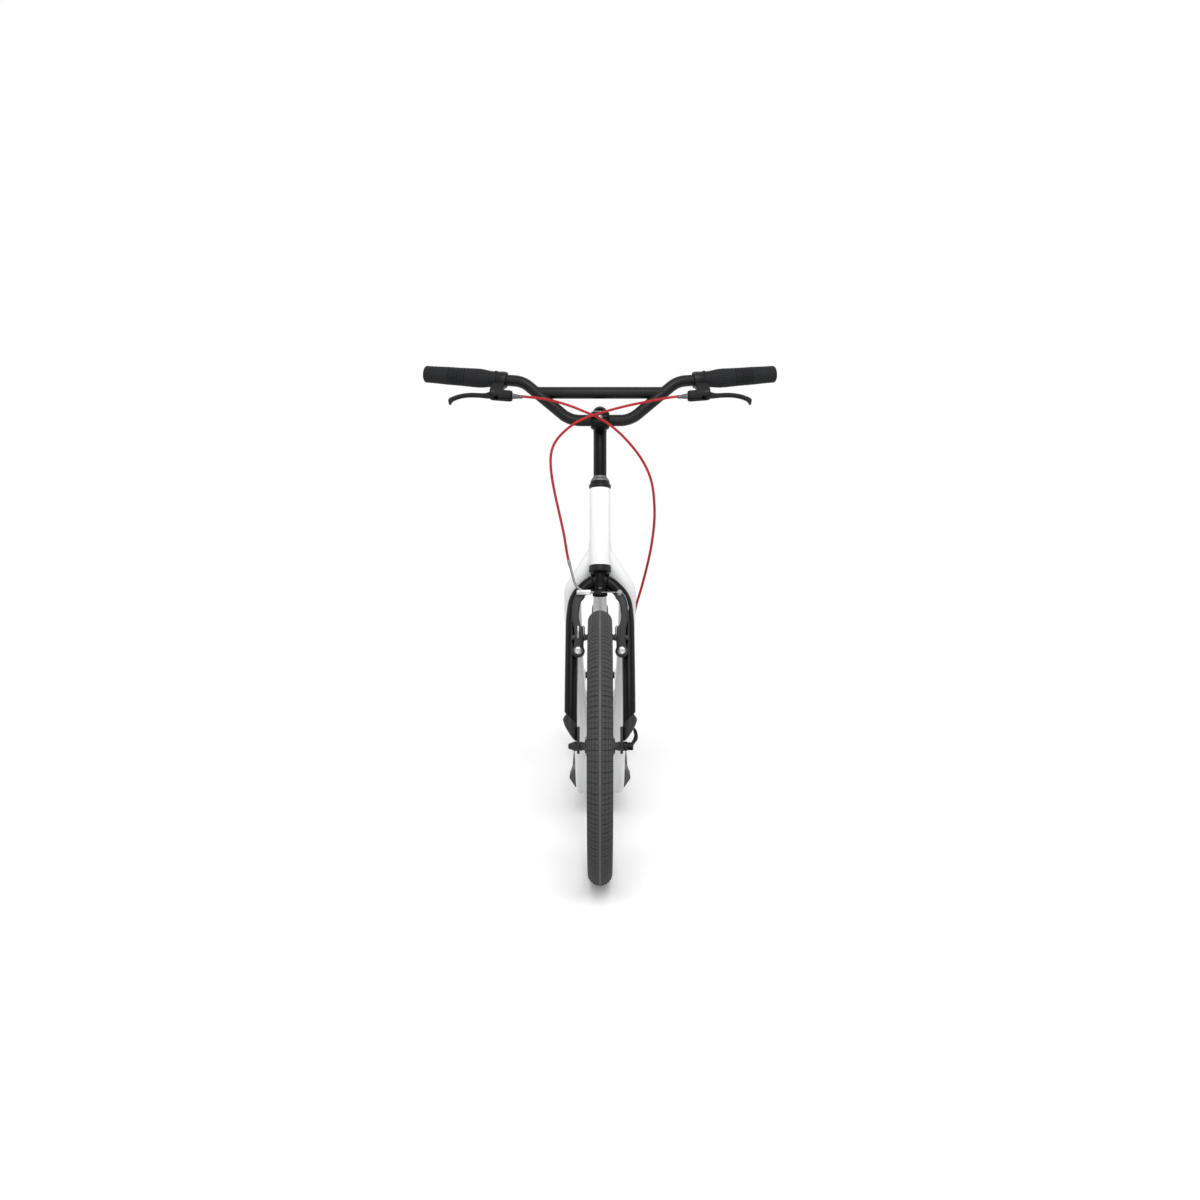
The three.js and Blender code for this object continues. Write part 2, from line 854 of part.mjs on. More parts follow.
function hubBody(wheel) {
  const flangeOut = wheel.hubFlangeOut + HUB.flangeWidth;
  const flangeIn = wheel.hubFlangeOut - HUB.flangeFoot;
  const sideOf = (sign) => [
    [HUB.boreRadius, wheel.hubEndOut * sign],
    [HUB.capRadius, wheel.hubEndOut * sign],
    [HUB.capRadius, flangeOut * sign],
    [HUB.flangeRadius, flangeOut * sign],
    [HUB.flangeRadius, wheel.hubFlangeOut * sign],
    [HUB.barrelRadius, flangeIn * sign],
  ];
  const shell = solid(alongX(closedRing([...sideOf(-1), ...sideOf(1).reverse()], HUB.facetCount)));
  const spokes = [];
  const bed = (wheel.seatRadius - RIM.spokeBedDrop) * Math.cos(Math.PI / wheel.facetCount);
  const rimEnd = bed - GAP;
  for (let i = 0; i < wheel.spokeCount; i += 1) {
    const side = i % 2 === 0 ? 1 : -1;
    const turnSign = i % 4 < 2 ? 1 : -1;
    const rimAngle = (2 * Math.PI * (i + 1 / 2)) / wheel.spokeCount;
    const hubAngle = rimAngle + turnSign * rad(SPOKE.crossDeg);
    const hubX = side * (wheel.hubFlangeOut + HUB.flangeWidth / 2 + turnSign * SPOKE.headSpread);
    const inner = point(hubX, SPOKE.circleRadius * Math.cos(hubAngle), SPOKE.circleRadius * Math.sin(hubAngle));
    const outer = point(side * SPOKE.rimSpread, rimEnd * Math.cos(rimAngle), rimEnd * Math.sin(rimAngle));
    spokes.push(solid(rod(SPOKE.radius, inner, outer, SPOKE.sides)));
  }
  return joined(shell, ...spokes);
}

function addWheel(prefix, wheel, y) {
  const group = new THREE.Group();
  group.position.set(0, y, wheel.tyreRadius);
  chassis.add(group);
  const valveTool = valveRod(wheel, VALVE.radius + GAP, wheel.tyreRadius, wheel.seatRadius - VALVE.reach);
  piece(prefix + "_tyre", tyreBody(wheel), TYRE_RUBBER, group);
  piece(prefix + "_inner_tube", innerTubeBody(wheel), BLACK_RUBBER, group);
  piece(prefix + "_rim", rimBody(wheel, valveTool), PAINT_BLACK, group);
  piece(prefix + "_hub_and_spokes", hubBody(wheel), ALLOY, group);
  return group;
}

// Fork

function along(shares, spread, forward, height) {
  return shares.map(([a, b, c]) => point(spread * a, -forward * b, height * c));
}

// The stud is rooted in the tube behind it, whose centreline is given with the brake's place.
function brakeStud(wheel, brake, tubePath) {
  const pivot = wheel.seatRadius - BRAKE.pivotBelowPad;
  const at = (w) => point(BRAKE.pivotHalfSpread, pivot, w);
  const away = brake.matrix.clone().invert();
  const along = new THREE.CatmullRomCurve3(tubePath).getSpacedPoints(BRAKE.rootSearch);
  const local = along.map((p) => p.applyMatrix4(away));
  const nearest = local.reduce((best, p) => (Math.abs(p.y - pivot) < Math.abs(best.y - pivot) ? p : best));
  const neckEnd = BRAKE.bossBack - GAP;
  const boltFoot = BRAKE.bossFront + GAP;
  const boltTop = boltFoot + BRAKE.boltTall;
  return joined(
    solid(rod(BRAKE.rootRadius, at(nearest.z), at(neckEnd), BRAKE.sides)),
    solid(rod(BRAKE.studRadius, at(neckEnd - GAP), at(boltFoot + GAP), BRAKE.sides)),
    solid(rod(BRAKE.boltRadius, at(boltFoot), at(boltTop), BRAKE.sides, BRAKE.boltCrown)),
  );
}

// The closed end of a slot, as half an octagon round the axle.
function slotEnd(half) {
  const corner = half * Math.tan(HALF_TURN / 8);
  return [[-half, corner], [-corner, half], [corner, half], [half, corner]];
}

function forkTipBody() {
  const outer = FORK_TIP.outer;
  const height = FORK_TIP.jointOuterHeight;
  const face = [
    [FORK_TIP.inner, FORK_TIP.jointInnerHeight],
    ...TIP_OUTLINE_SHARES.slice().reverse().map(([a, b]) => [outer * a, height * b]),
    [outer, height],
  ];
  const deep = FORK_TIP.halfDepth + OVERRUN;
  const front = uprightPlate(face, -deep, deep).translate(0, -FORK.bladeFootForward, 0);
  const column = new THREE.CylinderGeometry(1, 1, 2 * height, FORK_TIP.sides)
    .rotateX(QUARTER_TURN)
    .scale(FORK_TIP.halfWide, FORK_TIP.halfDepth, 1)
    .translate(FORK_TIP.centreOut, -FORK.bladeFootForward, height / 2);
  const tip = solid(front).intersect(solid(column));
  const footZ = -DROPOUT.footDrop;
  const plateFace = [
    [-FORK_RAKE - DROPOUT.footHalf, footZ],
    [-FORK_RAKE - DROPOUT.slotHalf, footZ],
    ...slotEnd(DROPOUT.slotHalf).map(([across, up]) => [-FORK_RAKE + across, up]),
    [-FORK_RAKE + DROPOUT.slotHalf, footZ],
    [-FORK_RAKE + DROPOUT.footHalf, footZ],
    [-FORK_RAKE + DROPOUT.headHalf, 0],
    [-FORK.bladeFootForward + DROPOUT.headHalf, DROPOUT.headHeight],
    [-FORK.bladeFootForward - DROPOUT.headHalf, DROPOUT.headHeight],
    [-FORK_RAKE - DROPOUT.headHalf, 0],
  ];
  return joined(tip, solid(sidePlate(plateFace, DROPOUT.inner, DROPOUT.inner + DROPOUT.thick)));
}

function forkBladeBody(steererTool) {
  const line = along(BLADE_PATH_SHARES, FORK.bladeHalfSpread, FORK.bladeFootForward, FORK.crownHeight);
  const path = smooth(line, FORK.bladeRings);
  const blade = solid(tube(path, FORK.bladeRadius, FORK.bladeSides));
  const web = solid(
    block([0, FORK.webReach], [-FORK.webHalfThick, FORK.webHalfThick], [FORK.webFoot, FORK.webFoot + FORK.webTall]),
  );
  const stud = moved(brakeStud(FRONT_WHEEL, frontBrake, path), frontBrake.matrix);
  const slope = Math.atan2(
    FORK_TIP.jointOuterHeight - FORK_TIP.jointInnerHeight,
    FORK_TIP.outer - FORK_TIP.inner,
  );
  const big = FORK.bladeHalfSpread;
  const below = solid(
    block([-big, big], [-big, big], [-2 * big, GAP / Math.cos(slope)])
      .rotateY(-slope)
      .translate(FORK_TIP.inner, -FORK.bladeFootForward, FORK_TIP.jointInnerHeight),
  );
  return joined(cut(joined(blade, web), steererTool, below), stud);
}

function addFork() {
  const sides = HEADSET.facetCount;
  const raceTop = HEADSET.raceFoot + HEADSET.raceTall;
  const steererProfile = [
    [STEERER.bore, FORK.postFoot],
    [FORK.postRadius, FORK.postFoot],
    [FORK.postRadius, HEADSET.raceFoot],
    [HEADSET.raceRadius, HEADSET.raceFoot],
    [FORK.postRadius, raceTop],
    [FORK.postRadius, STEERER.head],
    [STEERER.bore, STEERER.head],
  ];
  const boltHole = solid(
    rod(
      FORK.boreRadius,
      point(0, -2 * FORK.postRadius, FORK.boreHeight),
      point(0, 2 * FORK.postRadius, FORK.boreHeight),
      FORK.bladeSides,
    ),
  );
  piece("fork_steerer", cut(solid(closedRing(steererProfile, sides)), boltHole), PAINT_BLACK, steering);
  const postTool = rod(around(FORK.postRadius, sides), point(0, 0, 0), point(0, 0, HEADSET.raceFoot), sides);
  const raceTool = rod(
    around(HEADSET.raceRadius, sides),
    point(0, 0, HEADSET.raceFoot - GAP),
    point(0, 0, HEADSET.raceFoot + 2 * OVERRUN),
    sides,
  );
  const steererTool = joined(solid(postTool), solid(raceTool));
  pair("fork_blade", forkBladeBody(steererTool), PAINT_BLACK, steering);
  pair("fork_tip", forkTipBody(), DARK_GREY, steering);
}

// Axles and the quick release

function axleProfile(hubEnd, dropoutInner, reach, bore) {
  const locknutFoot = hubEnd + GAP;
  const locknutEnd = dropoutInner - GAP;
  const spacerEnd = locknutEnd - AXLE.locknutWidth;
  const half = [
    [AXLE.radius, hubEnd - AXLE.coneLength],
    [AXLE.coneRadius, hubEnd - AXLE.coneLength / 2],
    [AXLE.coneRadius, locknutFoot],
    [AXLE.spacerRadius, locknutFoot],
    [AXLE.spacerRadius, spacerEnd],
    [AXLE.locknutRadius, spacerEnd],
    [AXLE.locknutRadius, locknutEnd],
    [AXLE.radius, locknutEnd],
    [AXLE.radius, reach],
    [bore, reach],
  ];
  const other = half.map(([radius, x]) => [radius, -x]).reverse();
  return [...other, ...half];
}

function addFrontAxle() {
  const group = new THREE.Group();
  group.position.y = -FORK_RAKE;
  steering.add(group);
  const reach = DROPOUT.inner + DROPOUT.thick - GAP;
  const hollow = axleProfile(FRONT_WHEEL.hubEndOut, DROPOUT.inner, reach, AXLE.skewerBore);
  const axle = solid(alongX(closedRing(hollow, AXLE.facetCount)));
  piece("front_axle", axle, ALLOY, group);
  const seat = DROPOUT.inner + DROPOUT.thick + GAP;
  const housingEnd = seat + SKEWER.housingLength;
  const headEnd = housingEnd + SKEWER.headLength;
  const profile = [
    [0, -seat - SKEWER.nutLength],
    [SKEWER.nutOuterRadius, -seat - SKEWER.nutLength],
    [SKEWER.nutInnerRadius, -seat],
    [SKEWER.radius, -seat],
    [SKEWER.radius, seat],
    [SKEWER.housingRadius, seat],
    [SKEWER.housingRadius, housingEnd],
    [SKEWER.headRadius, housingEnd],
    [SKEWER.headRadius, headEnd],
    [0, headEnd],
  ];
  const pin = housingEnd + 2 * GAP + RELEASE_LEVER.bossRadius;
  const halfWide = RELEASE_LEVER.width / 2;
  const slotHalf = halfWide + GAP;
  const slot = block([housingEnd + GAP, headEnd + OVERRUN], [-slotHalf, slotHalf], [-headEnd, headEnd]);
  const pinRod = rod(
    RELEASE_LEVER.pinRadius,
    point(pin, -slotHalf - GAP, 0),
    point(pin, slotHalf + GAP, 0),
    RELEASE_LEVER.sides,
  );
  const skewer = cut(solid(alongX(turned(profile, HUB.facetCount))), solid(slot));
  const lean = new THREE.Matrix4().makeRotationX(-rad(RELEASE_LEVER.leanDeg));
  piece("quick_release_skewer", moved(joined(skewer, solid(pinRod)), lean), BRIGHT_STEEL, group);
  piece("quick_release_lever", moved(releaseLeverBody(pin), lean), DARK_GREY, group);
}

// The lever stands on a pin across the slot of the skewer's head and bows away from the fork.
function releaseLeverBody(pin) {
  const halfWide = RELEASE_LEVER.width / 2;
  const half = RELEASE_LEVER.thick / 2;
  const line = RELEASE_LEVER_SHARES.map(([a, b]) => [pin + RELEASE_LEVER.length * a, RELEASE_LEVER.length * b]);
  const outer = line.map(([x, z]) => [x + half, z]);
  const inner = line.map(([x, z]) => [x - half, z]).reverse();
  const across = (radius, reach) =>
    solid(rod(radius, point(pin, -reach, 0), point(pin, reach, 0), RELEASE_LEVER.sides));
  const blade = solid(plate([...outer, ...inner], -halfWide, halfWide).rotateX(QUARTER_TURN));
  const boss = across(RELEASE_LEVER.bossRadius, halfWide);
  const hole = across(around(RELEASE_LEVER.pinRadius, RELEASE_LEVER.sides), halfWide + OVERRUN);
  return cut(joined(blade, boss), hole);
}

function addRearAxle() {
  const group = new THREE.Group();
  group.position.set(0, WHEELBASE, REAR_WHEEL.tyreRadius);
  chassis.add(group);
  const outer = STAY_PLATE.inner + STAY_PLATE.thick;
  const reach = outer + REAR_NUT.length + REAR_NUT.studLong;
  const halfProfile = axleProfile(REAR_WHEEL.hubEndOut, STAY_PLATE.inner, reach, 0);
  piece("rear_axle", solid(alongX(turned(halfProfile, AXLE.facetCount))), ALLOY, group);
  const nut = solid(
    alongX(ring(AXLE.radius + GAP, REAR_NUT.radius, outer + GAP, outer + REAR_NUT.length, REAR_NUT.sides)),
  );
  pair("rear_axle_nut", nut, BRIGHT_STEEL, group);
}

// Headset

function addHeadset() {
  const sides = HEADSET.facetCount;
  const tubeFoot = HEAD_TUBE.foot;
  const tubeHead = HEAD_TUBE.head;
  piece(
    "head_tube",
    solid(ring(HEAD_TUBE.bore, HEAD_TUBE.radius, tubeFoot, tubeHead, sides)),
    PAINT_WHITE,
    steering,
  );
  const pocket = HEADSET.cupBore + HEADSET.bearingWide + GAP;
  const skirtRadius = HEAD_TUBE.bore - GAP;
  const cup = (tall) => [
    [pocket, 0],
    [HEADSET.lipRadius, 0],
    [HEADSET.lipRadius, tall],
    [skirtRadius, tall],
    [skirtRadius, tall + HEADSET.skirt],
    [HEADSET.cupBore, tall + HEADSET.skirt],
    [HEADSET.cupBore, HEADSET.bearingTall + 2 * GAP],
    [pocket, HEADSET.bearingTall + 2 * GAP],
  ];
  const lowerFace = tubeFoot - GAP - HEADSET.lowerLip;
  const upperFace = tubeHead + GAP + HEADSET.upperLip;
  const lower = closedRing(cup(HEADSET.lowerLip), sides).translate(0, 0, lowerFace);
  const upper = closedRing(cup(HEADSET.upperLip), sides).rotateX(HALF_TURN).translate(0, 0, upperFace);
  piece("lower_headset_cup", solid(lower), PAINT_BLACK, steering);
  piece("upper_headset_cup", solid(upper), PAINT_BLACK, steering);
  const bearing = (foot) =>
    solid(ring(HEADSET.cupBore, pocket - GAP, foot, foot + HEADSET.bearingTall, sides));
  piece("lower_bearing", bearing(lowerFace + GAP), BRIGHT_STEEL, steering);
  piece("upper_bearing", bearing(upperFace - GAP - HEADSET.bearingTall), BRIGHT_STEEL, steering);
  const coneTop = upperFace + GAP + HEADSET.coneTall;
  const nutTop = coneTop + HEADSET.nutTall;
  const capTop = nutTop + HEADSET.capTall;
  const bore = FORK.postRadius + GAP;
  const throat = STEM.quillRadius + GAP;
  const profile = [
    [bore, upperFace + GAP],
    [HEADSET.coneRadius, upperFace + GAP],
    [HEADSET.coneRadius, coneTop],
    [HEADSET.nutRadius, coneTop],
    [HEADSET.nutRadius, nutTop],
    [HEADSET.capRadius, capTop],
    [throat, capTop],
    [throat, STEERER.head + GAP],
    [bore, STEERER.head + GAP],
  ];
  piece("headset_locknut", solid(closedRing(profile, sides)), DARK_GREY, steering);
}

// Stem and handlebar

// All that lies on one side of the sloping cut between the quill and its wedge.
function wedgeSide(sign, height) {
  const big = STEM.headTop;
  return solid(
    block([-big, big], [-big, big], [Math.min(0, sign * big), Math.max(0, sign * big)])
      .rotateX(rad(EXPANDER.wedgeSlopeDeg))
      .translate(0, 0, height),
  );
}

function addStem() {
  const sides = STEM.facetCount;
  const shaftBore = around(EXPANDER.rodRadius, EXPANDER.sides);
  const quillProfile = [
    [shaftBore, STEM.quillFoot - STEM.quillRadius],
    [STEM.quillRadius, STEM.quillFoot - STEM.quillRadius],
    [STEM.quillRadius, STEM.headCentre - STEM.headRadius],
    [STEM.headRadius, STEM.headCentre - STEM.headRadius / 2],
    [STEM.headRadius, STEM.shoulderTop],
    [STEM.crownRadius, STEM.headTop],
    [shaftBore, STEM.headTop],
  ];
  const quill = solid(closedRing(quillProfile, sides));
  const clamp = solid(
    rod(
      STEM.clampRadius,
      point(-STEM.clampHalfWidth, -STEM.reach, STEM.barHeight),
      point(STEM.clampHalfWidth, -STEM.reach, STEM.barHeight),
      sides,
    ),
  );
  const neck = solid(
    block(
      [-STEM.neckHalfWidth, STEM.neckHalfWidth],
      [-STEM.reach, 0],
      [STEM.barHeight - STEM.neckHalfTall, STEM.barHeight + STEM.neckHalfTall],
    ),
  );
  const barHole = solid(
    rod(
      around(BAR.radius, BAR.sides),
      point(-2 * STEM.clampHalfWidth, -STEM.reach, STEM.barHeight),
      point(2 * STEM.clampHalfWidth, -STEM.reach, STEM.barHeight),
      BAR.sides,
    ),
  );
  const shaftHole = solid(
    rod(shaftBore, point(0, 0, 0), point(0, 0, STEM.headTop + OVERRUN), EXPANDER.sides),
  );
  const boltFace = -STEM.reach - STEM.clampRadius;
  const boltHole = solid(
    rod(
      around(CLAMP_BOLT.shankRadius, CLAMP_BOLT.sides),
      point(0, boltFace - OVERRUN, STEM.barHeight),
      point(0, -STEM.reach, STEM.barHeight),
      CLAMP_BOLT.sides,
    ),
  );
  const body = cut(joined(quill, clamp, neck), barHole, shaftHole, boltHole, wedgeSide(-1, STEM.quillFoot));
  piece("stem", body, PAINT_BLACK, steering);

  const boltSeat = boltFace - GAP;
  const boltEnd = -STEM.reach - BAR.radius - 2 * GAP;
  const clampBolt = joined(
    solid(
      rod(
        CLAMP_BOLT.headRadius,
        point(0, boltSeat - CLAMP_BOLT.headTall, STEM.barHeight),
        point(0, boltSeat, STEM.barHeight),
        CLAMP_BOLT.sides,
      ),
    ),
    solid(
      rod(
        CLAMP_BOLT.shankRadius,
        point(0, boltSeat - GAP, STEM.barHeight),
        point(0, boltEnd, STEM.barHeight),
        CLAMP_BOLT.sides,
      ),
    ),
  );
  piece("stem_clamp_bolt", clampBolt, BRIGHT_STEEL, steering);

  const wedgeFoot = STEM.quillFoot - EXPANDER.wedgeTall;
  const wedgeGap = GAP / Math.cos(rad(EXPANDER.wedgeSlopeDeg));
  const slugTop = STEM.quillFoot + STEM.quillRadius;
  const slug = rod(STEM.quillRadius, point(0, 0, wedgeFoot), point(0, 0, slugTop), sides);
  const wedge = cut(solid(slug), wedgeSide(1, STEM.quillFoot - wedgeGap));
  const boltTop = STEM.headTop + GAP;
  const head = [
    [0, boltTop],
    [EXPANDER.headRadius, boltTop],
    [EXPANDER.headRadius, boltTop + EXPANDER.headTall],
    [EXPANDER.socketRadius, boltTop + EXPANDER.headTall],
    [EXPANDER.socketRadius, boltTop + EXPANDER.headTall - EXPANDER.socketDeep],
    [0, boltTop + EXPANDER.headTall - EXPANDER.socketDeep],
  ];
  const shank = solid(
    rod(EXPANDER.rodRadius, point(0, 0, wedgeFoot + GAP), point(0, 0, boltTop + GAP), EXPANDER.sides),
  );
  piece("expander_bolt_and_wedge", joined(wedge, shank, solid(turned(head, EXPANDER.sides))), ALLOY, steering);
}

// The left half of the bar's centreline, from the middle outwards.
const barCorners = [
  point(0, -STEM.reach, STEM.barHeight),
  point(BAR.centreHalf, -STEM.reach, STEM.barHeight),
  point(BAR.riseOut, -STEM.reach + BAR.riseBack, STEM.barHeight + BAR.riseUp),
  point(BAR.endOut, -STEM.reach + BAR.endBack, STEM.barHeight + BAR.endUp),
];
const barEnd = barCorners[3];
const gripDirection = barCorners[2].clone().sub(barEnd).normalize(); // from the bar's end inwards

function handlebarBody() {
  const half = rounded(barCorners, BAR.bendRadius, BAR.bendSteps);
  const other = half.slice(1).map((p) => point(-p.x, p.y, p.z)).reverse();
  const bar = solid(tube([...other, ...half], BAR.radius, BAR.sides));
  const end = barCorners[1].clone().lerp(barCorners[2], BAR.braceUp / BAR.riseUp);
  const brace = rod(BAR.braceRadius, point(-end.x, end.y, end.z), end, BAR.sides);
  return joined(bar, solid(brace));
}

// A frame on the bar, its Z running inwards along the grip.
function onBar(distance) {
  const turn = new THREE.Quaternion().setFromUnitVectors(point(0, 0, 1), gripDirection);
  const at = barEnd.clone().addScaledVector(gripDirection, distance);
  return new THREE.Matrix4().compose(at, turn, point(1, 1, 1));
}

function gripBody() {
  const bore = around(BAR.radius, GRIP.facetCount);
  const length = GRIP.length;
  const profile = [
    [0, -GRIP.capThick],
    [GRIP.waistRadius, -GRIP.capThick],
    [GRIP.flangeRadius, 0],
    [GRIP.flangeRadius, GRIP.flangeWide],
    [GRIP.waistRadius, 2 * GRIP.flangeWide],
    [GRIP.bellyRadius, GRIP.outerTaper],
    [GRIP.bellyRadius, length - GRIP.innerTaper],
    [GRIP.waistRadius, length - 2 * GRIP.ringWide],
    [GRIP.ringRadius, length - GRIP.ringWide],
    [GRIP.ringRadius, length],
    [bore, length],
    [bore, GAP],
    [0, GAP],
  ];
  return solid(turned(profile, GRIP.facetCount).applyMatrix4(onBar(-GAP)));
}

// Brake levers. X runs out along the bar, Y away from the bar towards the blade.

function handFrame() {
  const out = gripDirection.clone().negate();
  const droop = rad(LEVER.droopDeg) + tilt;
  const ahead = point(0, -Math.cos(droop), -Math.sin(droop));
  ahead.addScaledVector(out, -ahead.dot(out)).normalize();
  const across = out.clone().cross(ahead);
  const at = barEnd.clone().addScaledVector(gripDirection, GRIP.length + LEVER.clampHalfWidth);
  return new THREE.Matrix4().makeBasis(out, ahead, across).setPosition(at);
}

function leverPerchBody() {
  const sides = GRIP.facetCount;
  const reach = LEVER.clampHalfWidth;
  const clampRing = alongX(ring(around(BAR.radius, sides), LEVER.clampRadius, -reach, reach, sides));
  const arm = block(
    [-LEVER.armHalfDeep, LEVER.armHalfDeep],
    [BAR.radius + 2 * GAP, LEVER.bodyAhead - LEVER.bodyHalfDeep + OVERRUN],
    [-LEVER.armHalfTall, LEVER.armHalfTall],
  );
  const near = LEVER.bodyAhead - LEVER.bodyHalfDeep;
  const far = LEVER.bodyAhead + LEVER.bodyHalfDeep;
  const chamfer = LEVER.bodyHalfDeep / 2;
  const bodyFace = [
    [-LEVER.bodyInner, LEVER.bodyAhead - chamfer],
    [-LEVER.bodyInner + chamfer, near],
    [LEVER.bodyOuter - chamfer, near],
    [LEVER.bodyOuter, near + chamfer],
    [LEVER.bodyOuter, far - chamfer],
    [LEVER.bodyOuter - chamfer, far],
    [-LEVER.bodyInner + chamfer, far],
    [-LEVER.bodyInner, LEVER.bodyAhead + chamfer],
  ];
  const body = plate(bodyFace, -LEVER.bodyHalfTall, LEVER.bodyHalfTall);
  const mouth = block(
    [LEVER.mouthFrom, LEVER.bodyOuter + OVERRUN],
    [near - OVERRUN, far + OVERRUN],
    [-LEVER.cheekGap / 2, LEVER.cheekGap / 2],
  );
  const pin = rod(
    LEVER.pivotRadius,
    point(LEVER.pivotOut, LEVER.pivotAhead, -LEVER.bodyHalfTall),
    point(LEVER.pivotOut, LEVER.pivotAhead, LEVER.bodyHalfTall),
    LEVER.pivotSides,
  );
  const throat = rod(
    around(ADJUSTER.neckRadius, ADJUSTER.sides),
    point(-LEVER.bodyInner - OVERRUN, LEVER.bodyAhead, 0),
    point(LEVER.mouthFrom + GAP, LEVER.bodyAhead, 0),
    ADJUSTER.sides,
  );
  const shell = cut(joined(solid(clampRing), solid(arm), solid(body)), solid(mouth), solid(throat));
  const barHole = rod(around(BAR.radius, sides), point(-2 * reach, 0, 0), point(2 * reach, 0, 0), sides);
  return cut(joined(shell, solid(pin)), solid(barHole));
}

function leverBladeBody() {
  const length = LEVER.bladeLength;
  const face = BLADE_OUTLINE_SHARES.map(([a, b]) => [
    LEVER.pivotOut + length * a,
    LEVER.pivotAhead + length * b,
  ]);
  const blade = solid(plate(face.reverse(), -LEVER.bladeTall / 2, LEVER.bladeTall / 2));
  const hole = rod(
    around(LEVER.pivotRadius, LEVER.pivotSides),
    point(LEVER.pivotOut, LEVER.pivotAhead, -LEVER.bladeTall),
    point(LEVER.pivotOut, LEVER.pivotAhead, LEVER.bladeTall),
    LEVER.pivotSides,
  );
  const atRest = new THREE.Matrix4()
    .makeTranslation(LEVER.pivotOut, LEVER.pivotAhead, 0)
    .multiply(new THREE.Matrix4().makeRotationZ(rad(LEVER.bladeOpenDeg)))
    .multiply(new THREE.Matrix4().makeTranslation(-LEVER.pivotOut, -LEVER.pivotAhead, 0));
  return moved(cut(blade, solid(hole)), atRest);
}

function adjusterBody() {
  const seat = -LEVER.bodyInner - GAP;
  const profile = [
    [0, seat + LEVER.bodyInner - OVERRUN],
    [ADJUSTER.neckRadius, seat + LEVER.bodyInner - OVERRUN],
    [ADJUSTER.neckRadius, seat],
    [ADJUSTER.radius, seat],
    [ADJUSTER.radius, seat - ADJUSTER.headLong],
    [ADJUSTER.neckRadius, seat - ADJUSTER.length],
    [0, seat - ADJUSTER.length],
  ];
  return solid(alongX(turned(profile, ADJUSTER.sides)).translate(0, LEVER.bodyAhead, 0));
}

function addBar() {
  piece("handlebar", handlebarBody(), PAINT_BLACK, steering);
  pair("grip", gripBody(), BLACK_RUBBER, steering);
  const hand = handFrame();
  pair("brake_lever_bracket", moved(leverPerchBody(), hand), PAINT_BLACK, steering);
  pair("brake_lever", moved(leverBladeBody(), hand), PAINT_BLACK, steering);
  pair("barrel_adjuster", moved(adjusterBody(), hand), BRIGHT_STEEL, steering);
}

// Rim brakes. X is across, Y out along the arms and Z away from the studs.

function armBody(wheel) {
  const pivot = wheel.seatRadius - BRAKE.pivotBelowPad;
  const x = BRAKE.pivotHalfSpread;
  const length = BRAKE.armLength;
  const face = ARM_OUTLINE_SHARES.map(([a, b]) => [x + length * a, pivot + length * b]);
  const arm = solid(plate(face, BRAKE.plateBack, BRAKE.plateFront));
  const boss = solid(
    rod(BRAKE.bossRadius, point(x, pivot, BRAKE.bossBack), point(x, pivot, BRAKE.bossFront), BRAKE.bossSides),
  );
  const bore = solid(
    rod(
      around(BRAKE.studRadius, BRAKE.sides),
      point(x, pivot, BRAKE.bossBack - OVERRUN),
      point(x, pivot, BRAKE.bossFront + OVERRUN),
      BRAKE.sides,
    ),
  );
  const postHole = solid(
    rod(
      around(BRAKE.postRadius, BRAKE.postSides),
      point(0, wheel.seatRadius, (BRAKE.plateBack + BRAKE.plateFront) / 2),
      point(2 * x, wheel.seatRadius, (BRAKE.plateBack + BRAKE.plateFront) / 2),
      BRAKE.postSides,
    ),
  );
  return cut(joined(arm, boss), bore, postHole);
}

function padBody(wheel) {
  const seat = wheel.seatRadius;
  const lift = (BRAKE.plateBack + BRAKE.plateFront) / 2;
  const halfAngle = Math.asin(BRAKE.padHalfLong / seat);
  const low = arcSteps(0, seat - BRAKE.padHalfTall, -halfAngle, halfAngle, BRAKE.padSteps);
  const high = arcSteps(0, seat + BRAKE.padHalfTall, halfAngle, -halfAngle, BRAKE.padSteps);
  const face = [...low, ...high].map(([out, away]) => [out, away + lift]);
  const shoe = sidePlate(face, BRAKE.padInner, BRAKE.padInner + BRAKE.padThick);
  const padOuter = BRAKE.padInner + BRAKE.padThick;
  const armFace = BRAKE.pivotHalfSpread + BRAKE.armLength * ARM_OUTLINE_SHARES[0][0];
  const nutFoot = BRAKE.pivotHalfSpread + BRAKE.nutOut;
  const post = [
    [0, padOuter - GAP],
    [BRAKE.washerFoot, padOuter - GAP],
    [BRAKE.washerRadius, armFace - GAP],
    [BRAKE.postRadius, armFace - GAP],
    [BRAKE.postRadius, nutFoot],
    [BRAKE.nutRadius, nutFoot],
    [BRAKE.nutRadius, nutFoot + BRAKE.nutLong],
    [0, nutFoot + BRAKE.nutLong],
  ];
  return joined(solid(shoe), solid(alongX(turned(post, BRAKE.postSides)).translate(0, seat, lift)));
}

// The curved guide that turns the housing's pull across the wheel.
function noodlePath(wheel, fit) {
  const top = wheel.seatRadius - BRAKE.pivotBelowPad + BRAKE.cableTop;
  const z = BRAKE.cableOut;
  const points = [point(NOODLE.tipAcross, top, z)];
  const bend = rad(fit.bendDeg);
  for (let i = 0; i <= NOODLE.bendSteps; i += 1) {
    const angle = (bend * i) / NOODLE.bendSteps;
    const x = NOODLE.bendFrom - NOODLE.bendRadius * Math.sin(angle);
    points.push(point(x, top + NOODLE.bendRadius * (1 - Math.cos(angle)), z));
  }
  const last = points[points.length - 1];
  const lead = point(-Math.cos(bend), Math.sin(bend), 0).multiplyScalar(fit.lead);
  points.push(last.clone().add(lead));
  return points;
}

